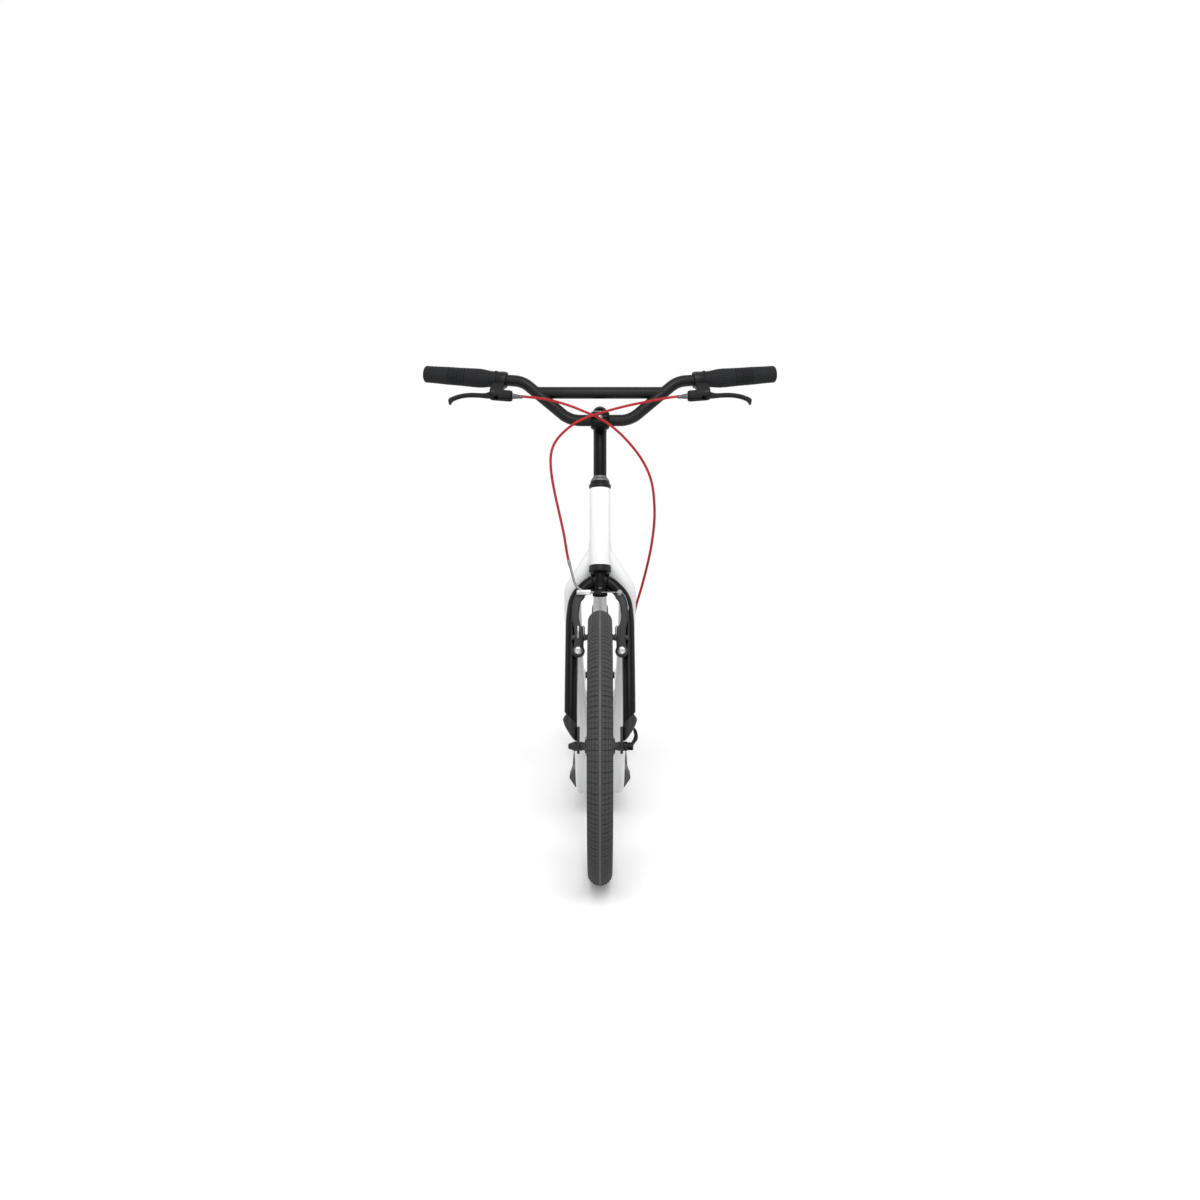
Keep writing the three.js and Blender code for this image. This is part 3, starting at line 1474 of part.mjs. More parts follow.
function noodleBody(wheel, fit) {
  const path = noodlePath(wheel, fit);
  const top = path[0].y;
  const link = rod(
    NOODLE.linkRadius,
    point(NOODLE.linkFrom, top, BRAKE.cableOut),
    point(NOODLE.bendFrom + NOODLE.radius, top, BRAKE.cableOut),
    NOODLE.linkSides,
  );
  const end = path[path.length - 1];
  const before = path[path.length - 2];
  const ferruleFoot = end.clone().lerp(before, 1 / 4);
  const ferrule = rod(HOUSING.radius + 2 * GAP, ferruleFoot, end, NOODLE.sides);
  return joined(solid(tube(path, NOODLE.radius, NOODLE.sides)), solid(link), solid(ferrule));
}

function linkCableBody(wheel) {
  const top = wheel.seatRadius - BRAKE.pivotBelowPad + BRAKE.cableTop;
  const z = BRAKE.cableOut;
  const bootFrom = NOODLE.tipAcross + GAP;
  const bootTo = bootFrom + LINK_CABLE.bootLong;
  const x = BRAKE.pivotHalfSpread;
  const bootWide = LINK_CABLE.bootRadius;
  const boot = rod(bootWide, point(bootFrom, top, z), point(bootTo, top, z), LINK_CABLE.sides, bootWide / 2);
  const run = [
    point(bootTo - LINK_CABLE.radius, top, z),
    point(x, top, z),
    point(x + LINK_CABLE.tailOut / 2, top - LINK_CABLE.tailOut / 2, z),
    point(x + LINK_CABLE.tailOut, top - 2 * LINK_CABLE.tailOut, z),
    point(x + LINK_CABLE.tailOut + LINK_CABLE.radius, top - LINK_CABLE.tailDrop, z),
  ];
  const anchor = rod(
    LINK_CABLE.anchorRadius,
    point(x - LINK_CABLE.anchorRadius, top, BRAKE.plateFront + GAP),
    point(x - LINK_CABLE.anchorRadius, top, z + LINK_CABLE.anchorTall / 2),
    LINK_CABLE.sides,
  );
  return joined(solid(boot), solid(tube(run, LINK_CABLE.radius, LINK_CABLE.sides)), solid(anchor));
}

// The guide's arm is at -X of the brake's own frame, the anchor's arm at +X.
function addBrake(prefix, group, wheel, fit, guideSide, anchorSide) {
  const arm = armBody(wheel);
  const pad = padBody(wheel);
  piece(prefix + "_brake_arm_" + anchorSide, arm, DARK_GREY, group);
  piece(prefix + "_brake_arm_" + guideSide, mirrored(arm), DARK_GREY, group);
  piece(prefix + "_brake_pad_" + anchorSide, pad, BLACK_RUBBER, group);
  piece(prefix + "_brake_pad_" + guideSide, mirrored(pad), BLACK_RUBBER, group);
  piece(prefix + "_brake_noodle", noodleBody(wheel, fit), BRIGHT_STEEL, group);
  piece(prefix + "_brake_link_cable", linkCableBody(wheel), BRIGHT_STEEL, group);
}

// Frame

const headJoint = (() => {
  const along = HEAD_TUBE.foot + HEAD_JOINT.aboveFoot;
  const height = steering.position.z + along * Math.cos(tilt);
  const axisBack = steering.position.y + along * Math.sin(tilt);
  return { back: axisBack + HEAD_TUBE.radius + GAP, height };
})();

function sideTubePath() {
  const levelFrom = FRONT_WHEEL.tyreRadius + RAIL.levelPastTyre;
  const front = FRONT_RUN_SHARES.map(([a, b, c]) =>
    point(
      RAIL.halfSpread + (SHOULDER_HALF_SPREAD - RAIL.halfSpread) * a,
      headJoint.back + (levelFrom - headJoint.back) * b,
      RAIL.height + (headJoint.height - RAIL.height) * c,
    ),
  );
  const rearFrom = BOARD.rear + RAIL.straightPastBoard;
  const rear = REAR_RUN_SHARES.map(([a, b, c]) =>
    point(
      RAIL.halfSpread + (REAR_STAY_HALF_SPREAD - RAIL.halfSpread) * a,
      rearFrom + (WHEELBASE - rearFrom) * b,
      RAIL.height + (REAR_WHEEL.tyreRadius - RAIL.height) * c,
    ),
  );
  return [...smooth(front, RAIL.frontRings), ...smooth(rear, RAIL.rearRings)];
}

function headCutter() {
  const low = point(0, 0, HEADSET.raceFoot - OVERRUN);
  const sides = HEADSET.facetCount;
  const lipTool = rod(HEADSET.lipRadius + GAP, low, point(0, 0, HEAD_TUBE.foot + GAP), sides);
  const tubeTool = rod(HEAD_TUBE.radius + GAP, low, point(0, 0, HEAD_TUBE.head + OVERRUN), sides);
  return moved(joined(solid(lipTool), solid(tubeTool)), steering.matrix);
}

function stayPlateBody() {
  const y = WHEELBASE;
  const z = REAR_WHEEL.tyreRadius;
  const nose = STAY_PLATE.noseRadius;
  const slot = STAY_PLATE.slotHalf;
  const rootY = y - STAY_PLATE.rootForward;
  const rootZ = z - STAY_PLATE.rootDrop;
  const face = [
    [rootY - STAY_PLATE.rootHalf, rootZ + STAY_PLATE.rootHalf],
    [rootY + STAY_PLATE.rootHalf, rootZ - STAY_PLATE.rootHalf],
    [y, z - nose],
    [y + nose, z - nose],
    [y + nose, z - slot],
    ...slotEnd(slot).map(([across, up]) => [y - up, z + across]),
    [y + nose, z + slot],
    [y + nose, z + nose],
    [y, z + nose],
    [y - nose, z + nose / 2],
  ];
  return solid(sidePlate(face, STAY_PLATE.inner, STAY_PLATE.inner + STAY_PLATE.thick));
}

function addFrame() {
  const path = sideTubePath();
  const cutter = headCutter();
  const middle = solid(block([-BOARD.halfWidth, GAP / 2], [0, WHEELBASE], [0, 2 * headJoint.height]));
  const outerTube = solid(tube(path, RAIL.radius, RAIL.sides));
  const rearPath = path.slice(-RAIL.rearRings - 1);
  const stud = moved(mirrored(brakeStud(REAR_WHEEL, rearBrake, rearPath)), rearBrake.matrix);
  const sideTube = joined(cut(outerTube, cutter, middle), stayPlateBody(), stud);
  pair("side_tube", sideTube, PAINT_WHITE, chassis);

  const grown = solid(tube(path, RAIL.radius + GAP, RAIL.sides));
  const bothTubes = joined(grown, mirrored(grown));
  const downPath = DOWN_TUBE_SHARES.map(([a, b]) =>
    point(
      0,
      headJoint.back + (BRIDGE.back - headJoint.back) * a,
      BRIDGE.height + (headJoint.height - BRIDGE.height) * b,
    ),
  );
  const down = solid(tube(smooth(downPath, DOWN_TUBE.rings), DOWN_TUBE.radius, DOWN_TUBE.sides));
  const reach = RAIL.halfSpread;
  const bridge = (back, height) =>
    solid(rod(BRIDGE.radius, point(-reach, back, height), point(reach, back, height), BRIDGE.sides));
  const downTube = cut(joined(down, bridge(BRIDGE.back, BRIDGE.height)), cutter, bothTubes);
  piece("down_tube", downTube, PAINT_WHITE, chassis);
  piece("rear_bridge", cut(bridge(BRIDGE.rearBack, BRIDGE.height), bothTubes), PAINT_WHITE, chassis);
  addFootboard(bothTubes);
}

// The board is one moulding with shallow grooves along its top.
function addFootboard(bothTubes) {
  const foot = RAIL.height + RAIL.radius + GAP;
  const top = foot + BOARD.thick;
  const half = BOARD.halfWidth;
  const right = [
    [half - BOARD.edgeRound, foot],
    [half, foot + BOARD.edgeDrop],
    [half, top - BOARD.edgeRound],
    [half - BOARD.edgeRound, top],
  ];
  const grooves = [];
  for (let i = 0; i < BOARD.ridgeCount; i += 1) {
    const x = BOARD.fieldHalf - (2 * BOARD.fieldHalf * (i + 1 / 2)) / BOARD.ridgeCount;
    grooves.push([x + BOARD.grooveHalf, top], [x + BOARD.grooveHalf / 2, top - BOARD.grooveDeep]);
    grooves.push([x - BOARD.grooveHalf / 2, top - BOARD.grooveDeep], [x - BOARD.grooveHalf, top]);
  }
  const left = right.map(([x, z]) => [-x, z]).reverse();
  const board = solid(uprightPlate([...right, ...grooves, ...left], BOARD.front, BOARD.rear));
  const cornerCut = (sign) =>
    solid(
      block([-BOARD.rearCorner, BOARD.rearCorner], [-BOARD.rearCorner, BOARD.rearCorner], [0, 2 * top])
        .rotateZ(QUARTER_TURN / 2)
        .translate(sign * (half + BOARD.rearCorner / 2), BOARD.rear + BOARD.rearCorner / 2, 0),
    );
  piece("footboard", cut(board, cornerCut(1), cornerCut(-1), bothTubes), BOARD_PLASTIC, chassis);

  const railSide = RAIL.halfSpread + RAIL.radius;
  const inner = railSide - BUMPER.wallIn;
  const face = [
    [inner, foot - OVERRUN],
    [railSide + BUMPER.footOut, RAIL.height - BUMPER.footUnderRail],
    [half + BUMPER.ridgeOut, RAIL.height + BUMPER.ridgeOverRail],
    [half - BUMPER.topInset, top],
    [inner, top],
  ];
  const bumperFront = BOARD.front - BUMPER.lead;
  const bar = solid(uprightPlate(face, bumperFront, bumperFront + BUMPER.length));
  const boardTool = solid(
    block([-2 * half, half + GAP], [BOARD.front - GAP, BOARD.rear], [foot - GAP, 2 * top]),
  );
  pair("corner_bumper", cut(bar, boardTool, bothTubes), DARK_GREY, chassis);
}

// Cables

function housing(route) {
  const curve = new THREE.CatmullRomCurve3(route.map(([x, y, z]) => point(x, y, z)), false, "centripetal");
  const steps = Math.ceil(curve.getLength() / HOUSING.step);
  return solid(tube(curve.getSpacedPoints(steps), HOUSING.radius, HOUSING.sides));
}

function addCables() {
  piece("front_brake_cable", housing(FRONT_CABLE_ROUTE), CABLE_RED, steering);
  piece("rear_brake_cable_free", housing(REAR_CABLE_ROUTE), CABLE_RED, chassis);
  piece("rear_brake_cable_on_frame", housing(FRAME_CABLE_ROUTE), CABLE_RED, chassis);
  piece("rear_brake_cable_tail", housing(TAIL_CABLE_ROUTE), CABLE_RED, chassis);
}

addWheel("front", FRONT_WHEEL, 0);
addWheel("rear", REAR_WHEEL, WHEELBASE);
addFork();
addFrontAxle();
addRearAxle();
addHeadset();
addStem();
addBar();
addBrake("front", frontBrake, FRONT_WHEEL, FRONT_BRAKE_FIT, "right", "left");
addBrake("rear", rearBrake, REAR_WHEEL, REAR_BRAKE_FIT, "left", "right");
addFrame();
addCables();

export default kickBike;
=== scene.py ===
import math
from types import SimpleNamespace as Sizes

import bmesh
import bpy
from mathutils import Matrix, Vector


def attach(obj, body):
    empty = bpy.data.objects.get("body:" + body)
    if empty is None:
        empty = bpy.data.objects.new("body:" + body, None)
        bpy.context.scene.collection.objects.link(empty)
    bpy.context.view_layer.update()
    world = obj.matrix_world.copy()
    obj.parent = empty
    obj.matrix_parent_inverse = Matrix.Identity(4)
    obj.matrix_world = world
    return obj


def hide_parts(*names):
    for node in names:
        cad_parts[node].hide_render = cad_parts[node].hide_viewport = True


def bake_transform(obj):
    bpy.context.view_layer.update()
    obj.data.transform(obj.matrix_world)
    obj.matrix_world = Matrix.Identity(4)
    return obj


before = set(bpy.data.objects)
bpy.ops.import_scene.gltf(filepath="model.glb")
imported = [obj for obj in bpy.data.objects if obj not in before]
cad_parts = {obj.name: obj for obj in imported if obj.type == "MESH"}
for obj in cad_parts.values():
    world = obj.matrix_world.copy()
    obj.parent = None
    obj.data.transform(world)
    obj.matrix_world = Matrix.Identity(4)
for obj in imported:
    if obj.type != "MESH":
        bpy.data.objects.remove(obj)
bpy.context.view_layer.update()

# A kick bike with a low footboard, a large front wheel and a smaller rear wheel. Sizes are in
# millimetres in the frame of the piece that they describe, and become metres in make_piece.
# Names that end in SHARES hold outlines and lines as shares of the sizes that they are used with.
MM = 0.001
GAP = 0.3  # play between pieces that meet
QUARTER = math.pi / 2

WHEELBASE = 1050
TILT = math.radians(15.64)
RAKE = 38
FRONT = Sizes(name="front", seat=203, tyre_width=46, standoff=3, spokes=24, flange_out=22, cap=6)
REAR = Sizes(name="rear", seat=152.5, tyre_width=44, standoff=3.5, spokes=20, flange_out=24, cap=5.5)
WHEEL_SIDES = 128
TYRE = Sizes(wall=3, tread=1.2, crown_deg=52, shoulder=1.2, wall_sunk=0.7, bead_sunk=0.4, lines=(5, 8, 20),
             rim_line=7, rib_half=2.7, rib_sunk=0.4, rib_edge=0.4, rib_round=0.3, block_pitch=18.6,
             block_gap=2, sipe=0.8, tube_play=1.5)
# A moulded line on the tyre's wall: how far along and how deep under the full section.
WALL_LINE = ((0, TYRE.wall_sunk), (0.5, 0.1), (1.1, 0.1), (1.6, TYRE.wall_sunk))
# Rows of tread blocks: where each starts and ends across the crown.
TREAD_ROWS = ((3.6, 8.3), (9.5, 14.2), (15.4, 20.1), (21.3, 26.3))
# How far in a block's edges stand at each height, from below the carcass's skin to the block's top.
TREAD_BLOCK_STEPS = ((0, -0.4), (0.1, TYRE.tread - 0.3), (0.4, TYRE.tread))
RIM = Sizes(half=12.5, wall=2, lip=5, ledge=4, well=2.5, chamfer=1.5, track=7, bed=15, bed_half=6,
            groove_top=0.2, groove_middle=0.7, groove_foot=1.2, groove_deep=0.5)
HUB = Sizes(bore=8.6, cap=13.5, flange=19.5, flange_wide=3, foot=3, barrel=11, band_half=5, band_deep=0.8)
SPOKE = Sizes(radius=1.0, circle=16.5, cross_deg=51.4, rim_spread=3, elbow=2.4, bend=2.2, in_rim=1,
              in_nipple=4, sides=8)
SPOKE_HEAD = ((0, -0.4), (1.9, 0), (1.5, 0.7), (0, 1.0))
NIPPLE = Sizes(radius=2.1, long=13, head=2.6, head_tall=1.5, neck=2.2, mouth=1.3, sides=8)
VALVE = Sizes(radius=3, reach=36, thread_from=6, turns=16, thread_deep=0.35, nut=4.6, nut_foot=0.3,
              nut_head=3, cap_radius=4, cap_long=11, cap_chamfer=0.6, cap_flutes=12, cap_flute=0.25)
AXLE = Sizes(radius=4.6, cone=8.2, cone_long=9, locknut=9.4, locknut_wide=4.2, spacer=7.6, thread_pitch=1.2,
             thread_root=0.3, thread_crest=0.1)

DROPOUT = Sizes(inner=37.7, thick=4.7, head_half=11, foot_half=9, head_height=36, foot_drop=14, slot=4.9)
FORK = Sizes(blade=12, spread=54.4, crown=321, post_foot=288, post=14.3, forward=33, bore=4, bore_height=304,
             web_half=4, web_foot=296, web_head=310, web_reach=38)
BLADE_PATH_SHARES = (
    (0.09, 0, 1), (0.4, 0, 0.969), (0.6, 0.02, 0.938), (0.8, 0.06, 0.896), (0.9, 0.12, 0.854),
    (0.945, 0.18, 0.806), (0.975, 0.28, 0.745), (0.99, 0.5, 0.555), (1, 0.9, 0.237), (1, 1, 0.112),
)
FORK_TIP = Sizes(inner=42, outer=63.2, centre=55.5, half_wide=14, half_deep=12.5, joint_inner=39,
                 joint_outer=60.5)
TIP_OUTLINE_SHARES = (
    (1, 1), (1.092, 0.84), (1.068, 0.71), (1.016, 0.58), (0.93, 0.43), (0.81, 0.25), (0.735, 0.175),
)
TIP_FOOT_SHARES = (0.685, 0.165)
SKEWER = Sizes(nut_inner=9.2, nut_outer=4.7, nut_long=16, nut_flutes=18, housing=8.6, housing_long=9,
               head=7.4, head_long=10, bolt_sunk=0.8)
RELEASE = Sizes(long=48, wide=6.4, boss=4.6, pin=2, lean_deg=42, tip_share=0.1)
RELEASE_SHARES = ((0, 0), (0.1, 0.2), (0.2, 0.43), (0.205, 0.7), (0.13, 0.98))
# Half the lever's depth and half its width, by the share of its length.
RELEASE_HALF_DEPTHS = ((0, 2.6), (0.2, 3), (0.45, 3.9), (0.7, 3.2), (1, 1.8))
RELEASE_HALF_WIDTHS = ((0, 2.8), (0.3, 2.8), (0.75, 4.4), (1, 4.2))

HEAD_TUBE = Sizes(foot=347, head=498.5, radius=20.2, bore=17)
HEADSET = Sizes(lip=21.4, lower=12.5, upper=8.5, skirt=12, bore=15.2, race=17.6, race_foot=328, race_tall=5.5,
                cone=19.4, cone_tall=5, nut=16, nut_tall=6, cap=13.7, cap_tall=5)
STEERER = Sizes(bore=13, head=517)
STEM = Sizes(quill=12.7, foot=440, centre=634, head=16.5, top=658, crown=9, shoulder=650, reach=35, bar=626,
             clamp=18, clamp_half=18.3, neck_half_wide=13, neck_half_tall=14)
EXPANDER = Sizes(head=6.5, head_tall=7, socket=3.2, wedge_foot=414)
BAR = Sizes(radius=11.1, centre_half=58, rise_out=150, rise_up=80.5, rise_back=6, end_out=342, end_up=104.5,
            end_back=32, bend=52, brace=11.5, brace_up=57)
GRIP = Sizes(long=144, flange=16.6, waist=15.2, belly=18.4, ring=17, end=-3.3, rib_pitch=4.6, rib_deep=1.3,
             flutes=24, flute=0.55, groove_deep=0.5)
LEVER = Sizes(droop_deg=40.6, clamp=16, clamp_half=9, ring_half=10, inner=32, outer=13, ahead=47.5,
              half_deep=8, half_tall=8, cheek=9, pivot_out=6, mouth=-5, pivot_ahead=47, pin=2.6, blade=96,
              open_deg=10, tall=8, arm_inner=10, arm_outer=15, arm_half_tall=7, cable_slot_half=0.9,
              lug_half_wide=5.5, lug_half_tall=6.5)
BLADE_OUTLINE_SHARES = (
    (0, 0.09), (0.06, 0.092), (0.14, 0.082), (0.28, 0.048), (0.42, 0.034), (0.54, 0.032), (0.66, 0.058),
    (0.76, 0.108), (0.815, 0.165), (0.835, 0.25), (0.878, 0.25), (0.9, 0.16), (0.878, 0.105), (0.79, 0.045),
    (0.69, -0.003), (0.56, -0.034), (0.42, -0.04), (0.28, -0.022), (0.17, -0.01), (0.1, -0.04),
    (0.06, -0.075), (0, -0.088), (-0.072, -0.04), (-0.068, 0.05),
)
ADJUSTER = Sizes(radius=5.4, neck=3.6, long=19, head_long=11, taper=1.3, flutes=20, flute=0.3, stud_from=-6,
                 thread_pitch=0.9, turns=7)

BRAKE = Sizes(below_pad=26, spread=40.5, arm=107, back=-4, front=6.6, boss=11.3, boss_back=-5.5, boss_front=8,
              stud=4, root=7, bolt=7.4, bolt_tall=5.5, pad_inner=14.7, pad_thick=9.4, pad_half=27, pad_tall=5,
              pad_groove_half=0.8, pad_groove_deep=1.6, pad_groove_pitch=14, post=3, washer_foot=5.2,
              washer=6.5, nut=5, nut_foot=48.2, nut_long=5, cable_top=110, cable_out=11, spring_wire=0.9,
              leaf_tall=23)
for wheel in (FRONT, REAR):
    wheel.radius = wheel.seat + wheel.standoff + wheel.tyre_width
    wheel.hub_end = wheel.flange_out + wheel.cap
    wheel.stud = wheel.seat - BRAKE.below_pad
    wheel.cable = wheel.stud + BRAKE.cable_top
ARM_OUTLINE_SHARES = (
    (-0.092, 0.02), (-0.092, 0.43), (-0.038, 0.445), (-0.01, 0.56), (0.004, 0.71), (-0.036, 0.87),
    (-0.115, 0.95), (-0.115, 1.02), (0.03, 1.02), (0.078, 0.94), (0.112, 0.8), (0.112, 0.58), (0.076, 0.4),
    (0.06, 0.2), (0.09, 0.02),
)
NOODLE = Sizes(radius=2.7, tip=-12, bend_from=-20, bend=30, link_from=-44, link_half=3.9, link_inner=2.6,
               link_outer=3.8, link_pin=2.4, ferrule=3.1, ferrule_long=9)
LINK = Sizes(radius=0.9, boot=3.6, boot_long=14, boot_play=1, boot_pleat=2.1, anchor=3.6, anchor_washer=5.4,
             anchor_nut=4.1, anchor_bolt=2.6, tail_out=11.3, tail_drop=34, crimp=1.5)
FRONT_FIT = Sizes(bend_deg=75, lead=40)
REAR_FIT = Sizes(bend_deg=110, lead=6)
REAR_BRAKE_TILT = math.radians(22)

# A side tube's squareness is the power of its superellipse: 2 is round, and it grows under the board.
RAIL = Sizes(radius=17, spread=35.5, height=73, level_from=430, straight=30, sag=5.5, oval_to=190, sides=44,
             squareness=2.15, low_squareness=1.2)
RAIL_END_SCALES = (0.97, 0.88, 0.7, 0.35)
SHOULDER_SPREAD = 54
REAR_STAY_SPREAD = 50.5
JOINT_ABOVE_FOOT = 26.06
DOWN_TUBE_RADIUS = 13.3
BRIDGE = Sizes(radius=10, back=400, height=66, rear_back=800)
STAY = Sizes(inner=39, thick=6, nose=14, root_forward=62, root_drop=60, root_half=9, slot=5.3)
FRONT_RUN_SHARES = (
    (-1.595, 0, 1), (0.08, 0.037, 0.905), (0.93, 0.081, 0.852), (1, 0.125, 0.809), (0.92, 0.272, 0.676),
    (0.81, 0.426, 0.544), (0.42, 0.585, 0.335), (0.06, 0.71, 0.155), (0, 0.813, 0.055), (0, 1, 0),
)
REAR_RUN_SHARES = (
    (0, 0, 0), (0.33, 0.286, 0.03), (0.68, 0.464, 0.16), (0.93, 0.624, 0.39), (1, 0.768, 0.62),
    (1, 0.864, 0.79),
)
DOWN_TUBE_SHARES = ((-0.031, 0.951), (0.072, 0.849), (0.307, 0.662), (0.662, 0.344), (0.884, 0.12), (1, 0))
BOARD = Sizes(front=417, rear=735, half=61, thick=15.7, corner=26, field=52, groove=1.2, ridges=9,
              rib_gap=4.2, screw_from=44, screw_pitch=116, screw=5.2)
BUMPER = Sizes(front=400, long=52, top_half=59, ridge_half=67, ridge_height=87, foot_half=53.4,
               foot_height=66, inner=40)
REAR_NUT = Sizes(radius=9.5, long=9, stud=4)

# Cable housings: points that each one visits, given one by one. A housing is stiff: its bends even out.
CABLE_RADIUS = 2.5
HOUSING_RELAX_STEPS = 16
CLIP = Sizes(inner=2.3, outer=3.6, half_long=2.5, at=(2, 5, 8, 10, 12, 18))
FRONT_CABLE_ROUTE = (
    (155.7, -54.2, 668.4), (140, -56.4, 666.3), (105, -60, 658.5), (56.5, -68, 646), (8, -74, 631),
    (-40, -76, 613), (-69, -76, 591), (-89, -74, 566), (-94, -71, 541), (-92, -67, 511), (-86, -63, 477),
    (-74, -57, 424), (-67, -53, 392), (-62, -49.4, 358), (-59.4, -49, 348.3),
)
REAR_CABLE_ROUTE = (
    (-155.7, 164.6, 900), (-140, 161.8, 898.5), (-109, 157, 895), (-65, 151, 884), (-21, 147, 866.5),
    (3, 144, 856), (32, 139, 834.5), (56.5, 136.5, 810), (81, 138, 778), (98.5, 142, 740), (105, 149, 692),
    (105.5, 154.5, 663), (101, 165, 617), (94, 177, 578), (83, 194, 530), (77, 200, 508), (72.1, 207.7, 492),
    (71.3, 211.8, 485.5),
)
FRAME_CABLE_ROUTE = (
    (71.2, 212.1, 485), (70.4, 216.3, 478.4), (67.2, 229.3, 463), (63, 247, 438), (57, 267.3, 411),
    (50.5, 292.3, 369), (45, 310, 327), (38.5, 323.7, 286), (33, 336.3, 247), (29.5, 350, 207),
    (23, 362.3, 166), (22, 374.3, 137), (20.3, 384.8, 118), (18.5, 395, 104), (16.3, 404, 95),
    (16, 411, 87.6), (16.5, 420, 86.8), (18, 440, 87.4), (18.2, 520, 87.5), (18.2, 620, 87.5),
    (18.2, 690, 87.5),
)
TAIL_CABLE_ROUTE = (
    (18.2, 690.4, 87.5), (18.3, 715, 87.5), (20, 737, 87.2), (24, 748, 90), (33, 760, 94.2),
    (42, 773.6, 100.2), (46, 783.8, 104.3),
)

# Frames of reference
CHASSIS = Matrix.Translation((0, (FRONT.radius - WHEELBASE - REAR.radius) / 2, 0))
AXIS_FOOT = Vector((0, RAKE * math.cos(TILT), FRONT.radius - RAKE * math.sin(TILT)))
STEERING = CHASSIS @ Matrix.Translation(AXIS_FOOT) @ Matrix.Rotation(-TILT, 4, "X")
FRONT_HUB = CHASSIS @ Matrix.Translation((0, 0, FRONT.radius))
REAR_HUB = CHASSIS @ Matrix.Translation((0, WHEELBASE, REAR.radius))
FRONT_AXLE = STEERING @ Matrix.Translation((0, -RAKE, 0))
FRONT_BRAKE = FRONT_AXLE @ Matrix.Rotation(QUARTER, 4, "X")
REAR_BRAKE = REAR_HUB @ Matrix((
    (-1, 0, 0, 0),
    (0, -math.cos(REAR_BRAKE_TILT), -math.sin(REAR_BRAKE_TILT), 0),
    (0, -math.sin(REAR_BRAKE_TILT), math.cos(REAR_BRAKE_TILT), 0),
    (0, 0, 0, 1),
))
ALONG_X = Matrix.Rotation(QUARTER, 4, "Y")
UPRIGHT = Matrix(((1, 0, 0, 0), (0, 0, 1, 0), (0, 1, 0, 0), (0, 0, 0, 1)))
SIDEWAYS = Matrix(((0, 0, 1, 0), (1, 0, 0, 0), (0, 1, 0, 0), (0, 0, 0, 1)))
MIRROR = Matrix.Diagonal((-1, 1, 1, 1))


# Shapes: closed forms in millimetres

SHARP_ANGLE = math.radians(40)  # an edge that turns by more is rounded off
CREASE_ANGLE = math.radians(32)  # an edge that turns by more is shaded as an edge


class Shape:
    def __init__(self, points, faces):
        self.points = [Vector(p) for p in points]
        self.faces = [tuple(f) for f in faces]

    def __add__(self, other):
        return joined((self, other))

    def moved(self, matrix):
        return Shape([matrix @ p for p in self.points], self.faces)

    def shifted(self, x=0, y=0, z=0):
        return self.moved(Matrix.Translation((x, y, z)))

    def as_bmesh(self):
        form = bmesh.new()
        corners = [form.verts.new(p) for p in self.points]
        for face in self.faces:
            form.faces.new([corners[i] for i in face])
        bmesh.ops.remove_doubles(form, verts=form.verts, dist=1e-4)
        bmesh.ops.recalc_face_normals(form, faces=form.faces)
        return form

    def rounded(self, width, segments=2):
        """The same form with its sharp edges rounded off."""
        form = self.as_bmesh()
        edges = [e for e in form.edges if len(e.link_faces) == 2 and e.calc_face_angle(0) > SHARP_ANGLE]
        bmesh.ops.bevel(form, geom=edges, offset=width, segments=segments, profile=0.5, affect="EDGES",
                        clamp_overlap=True)
        return from_bmesh(form)

    def cut(self, *tools):
        """The same form with other forms taken out of it."""
        body = self
        for tool in tools:
            made = [body.as_object(), tool.as_object()]
            modifier = made[0].modifiers.new("cut", "BOOLEAN")
            modifier.operation = "DIFFERENCE"
            modifier.solver = "EXACT"
            modifier.object = made[1]
            body = evaluated_shape(made[0])
            for obj in made:
                bpy.data.objects.remove(obj)
        return body

    def as_object(self):
        form = self.as_bmesh()
        mesh = bpy.data.meshes.new("form")
        form.to_mesh(mesh)
        form.free()
        obj = bpy.data.objects.new("form", mesh)
        bpy.context.scene.collection.objects.link(obj)
        return obj


def from_bmesh(form):
    form.verts.index_update()
    shape = Shape([v.co.copy() for v in form.verts], [[v.index for v in f.verts] for f in form.faces])
    form.free()
    return shape


def evaluated_shape(obj):
    """What an object's modifiers make of it, as a plain form."""
    bpy.context.view_layer.update()
    mesh = bpy.data.meshes.new_from_object(obj.evaluated_get(bpy.context.evaluated_depsgraph_get()))
    shape = Shape([v.co.copy() for v in mesh.vertices], [list(p.vertices) for p in mesh.polygons])
    bpy.data.meshes.remove(mesh)
    return shape


def joined(shapes):
    points, faces = [], []
    for shape in shapes:
        shift = len(points)
        points.extend(shape.points)
        faces.extend(tuple(i + shift for i in f) for f in shape.faces)
    return Shape(points, faces)


def pair(shape):
    return shape + shape.moved(MIRROR)


def circle(radius, sides):
    return [(radius * math.cos(2 * math.pi * i / sides), radius * math.sin(2 * math.pi * i / sides))
            for i in range(sides)]


def squared_circle(radius, sides, power):
    """A superellipse as wide as a circle of this radius, with fuller corners."""
    made = []
    for u, v in circle(1, sides):
        grow = (abs(u) ** power + abs(v) ** power) ** (-1 / power)
        made.append((u * grow * radius, v * grow * radius))
    return made


def soften(points, radius, steps=3, closed=True):
    """An outline with its corners rounded off by up to the radius."""
    corners = [Vector(p) for p in points]
    count = len(corners)
    made = []
    for i, corner in enumerate(corners):
        if not closed and i in (0, count - 1):
            made.append(corner)
            continue
        back = corners[i - 1] - corner
        on = corners[(i + 1) % count] - corner
        start = corner + back.normalized() * min(radius, 0.45 * back.length)
        end = corner + on.normalized() * min(radius, 0.45 * on.length)
        for k in range(steps + 1):
            t = k / steps
            made.append(start * (1 - t) ** 2 + corner * 2 * t * (1 - t) + end * t ** 2)
    return [tuple(p) for p in made]


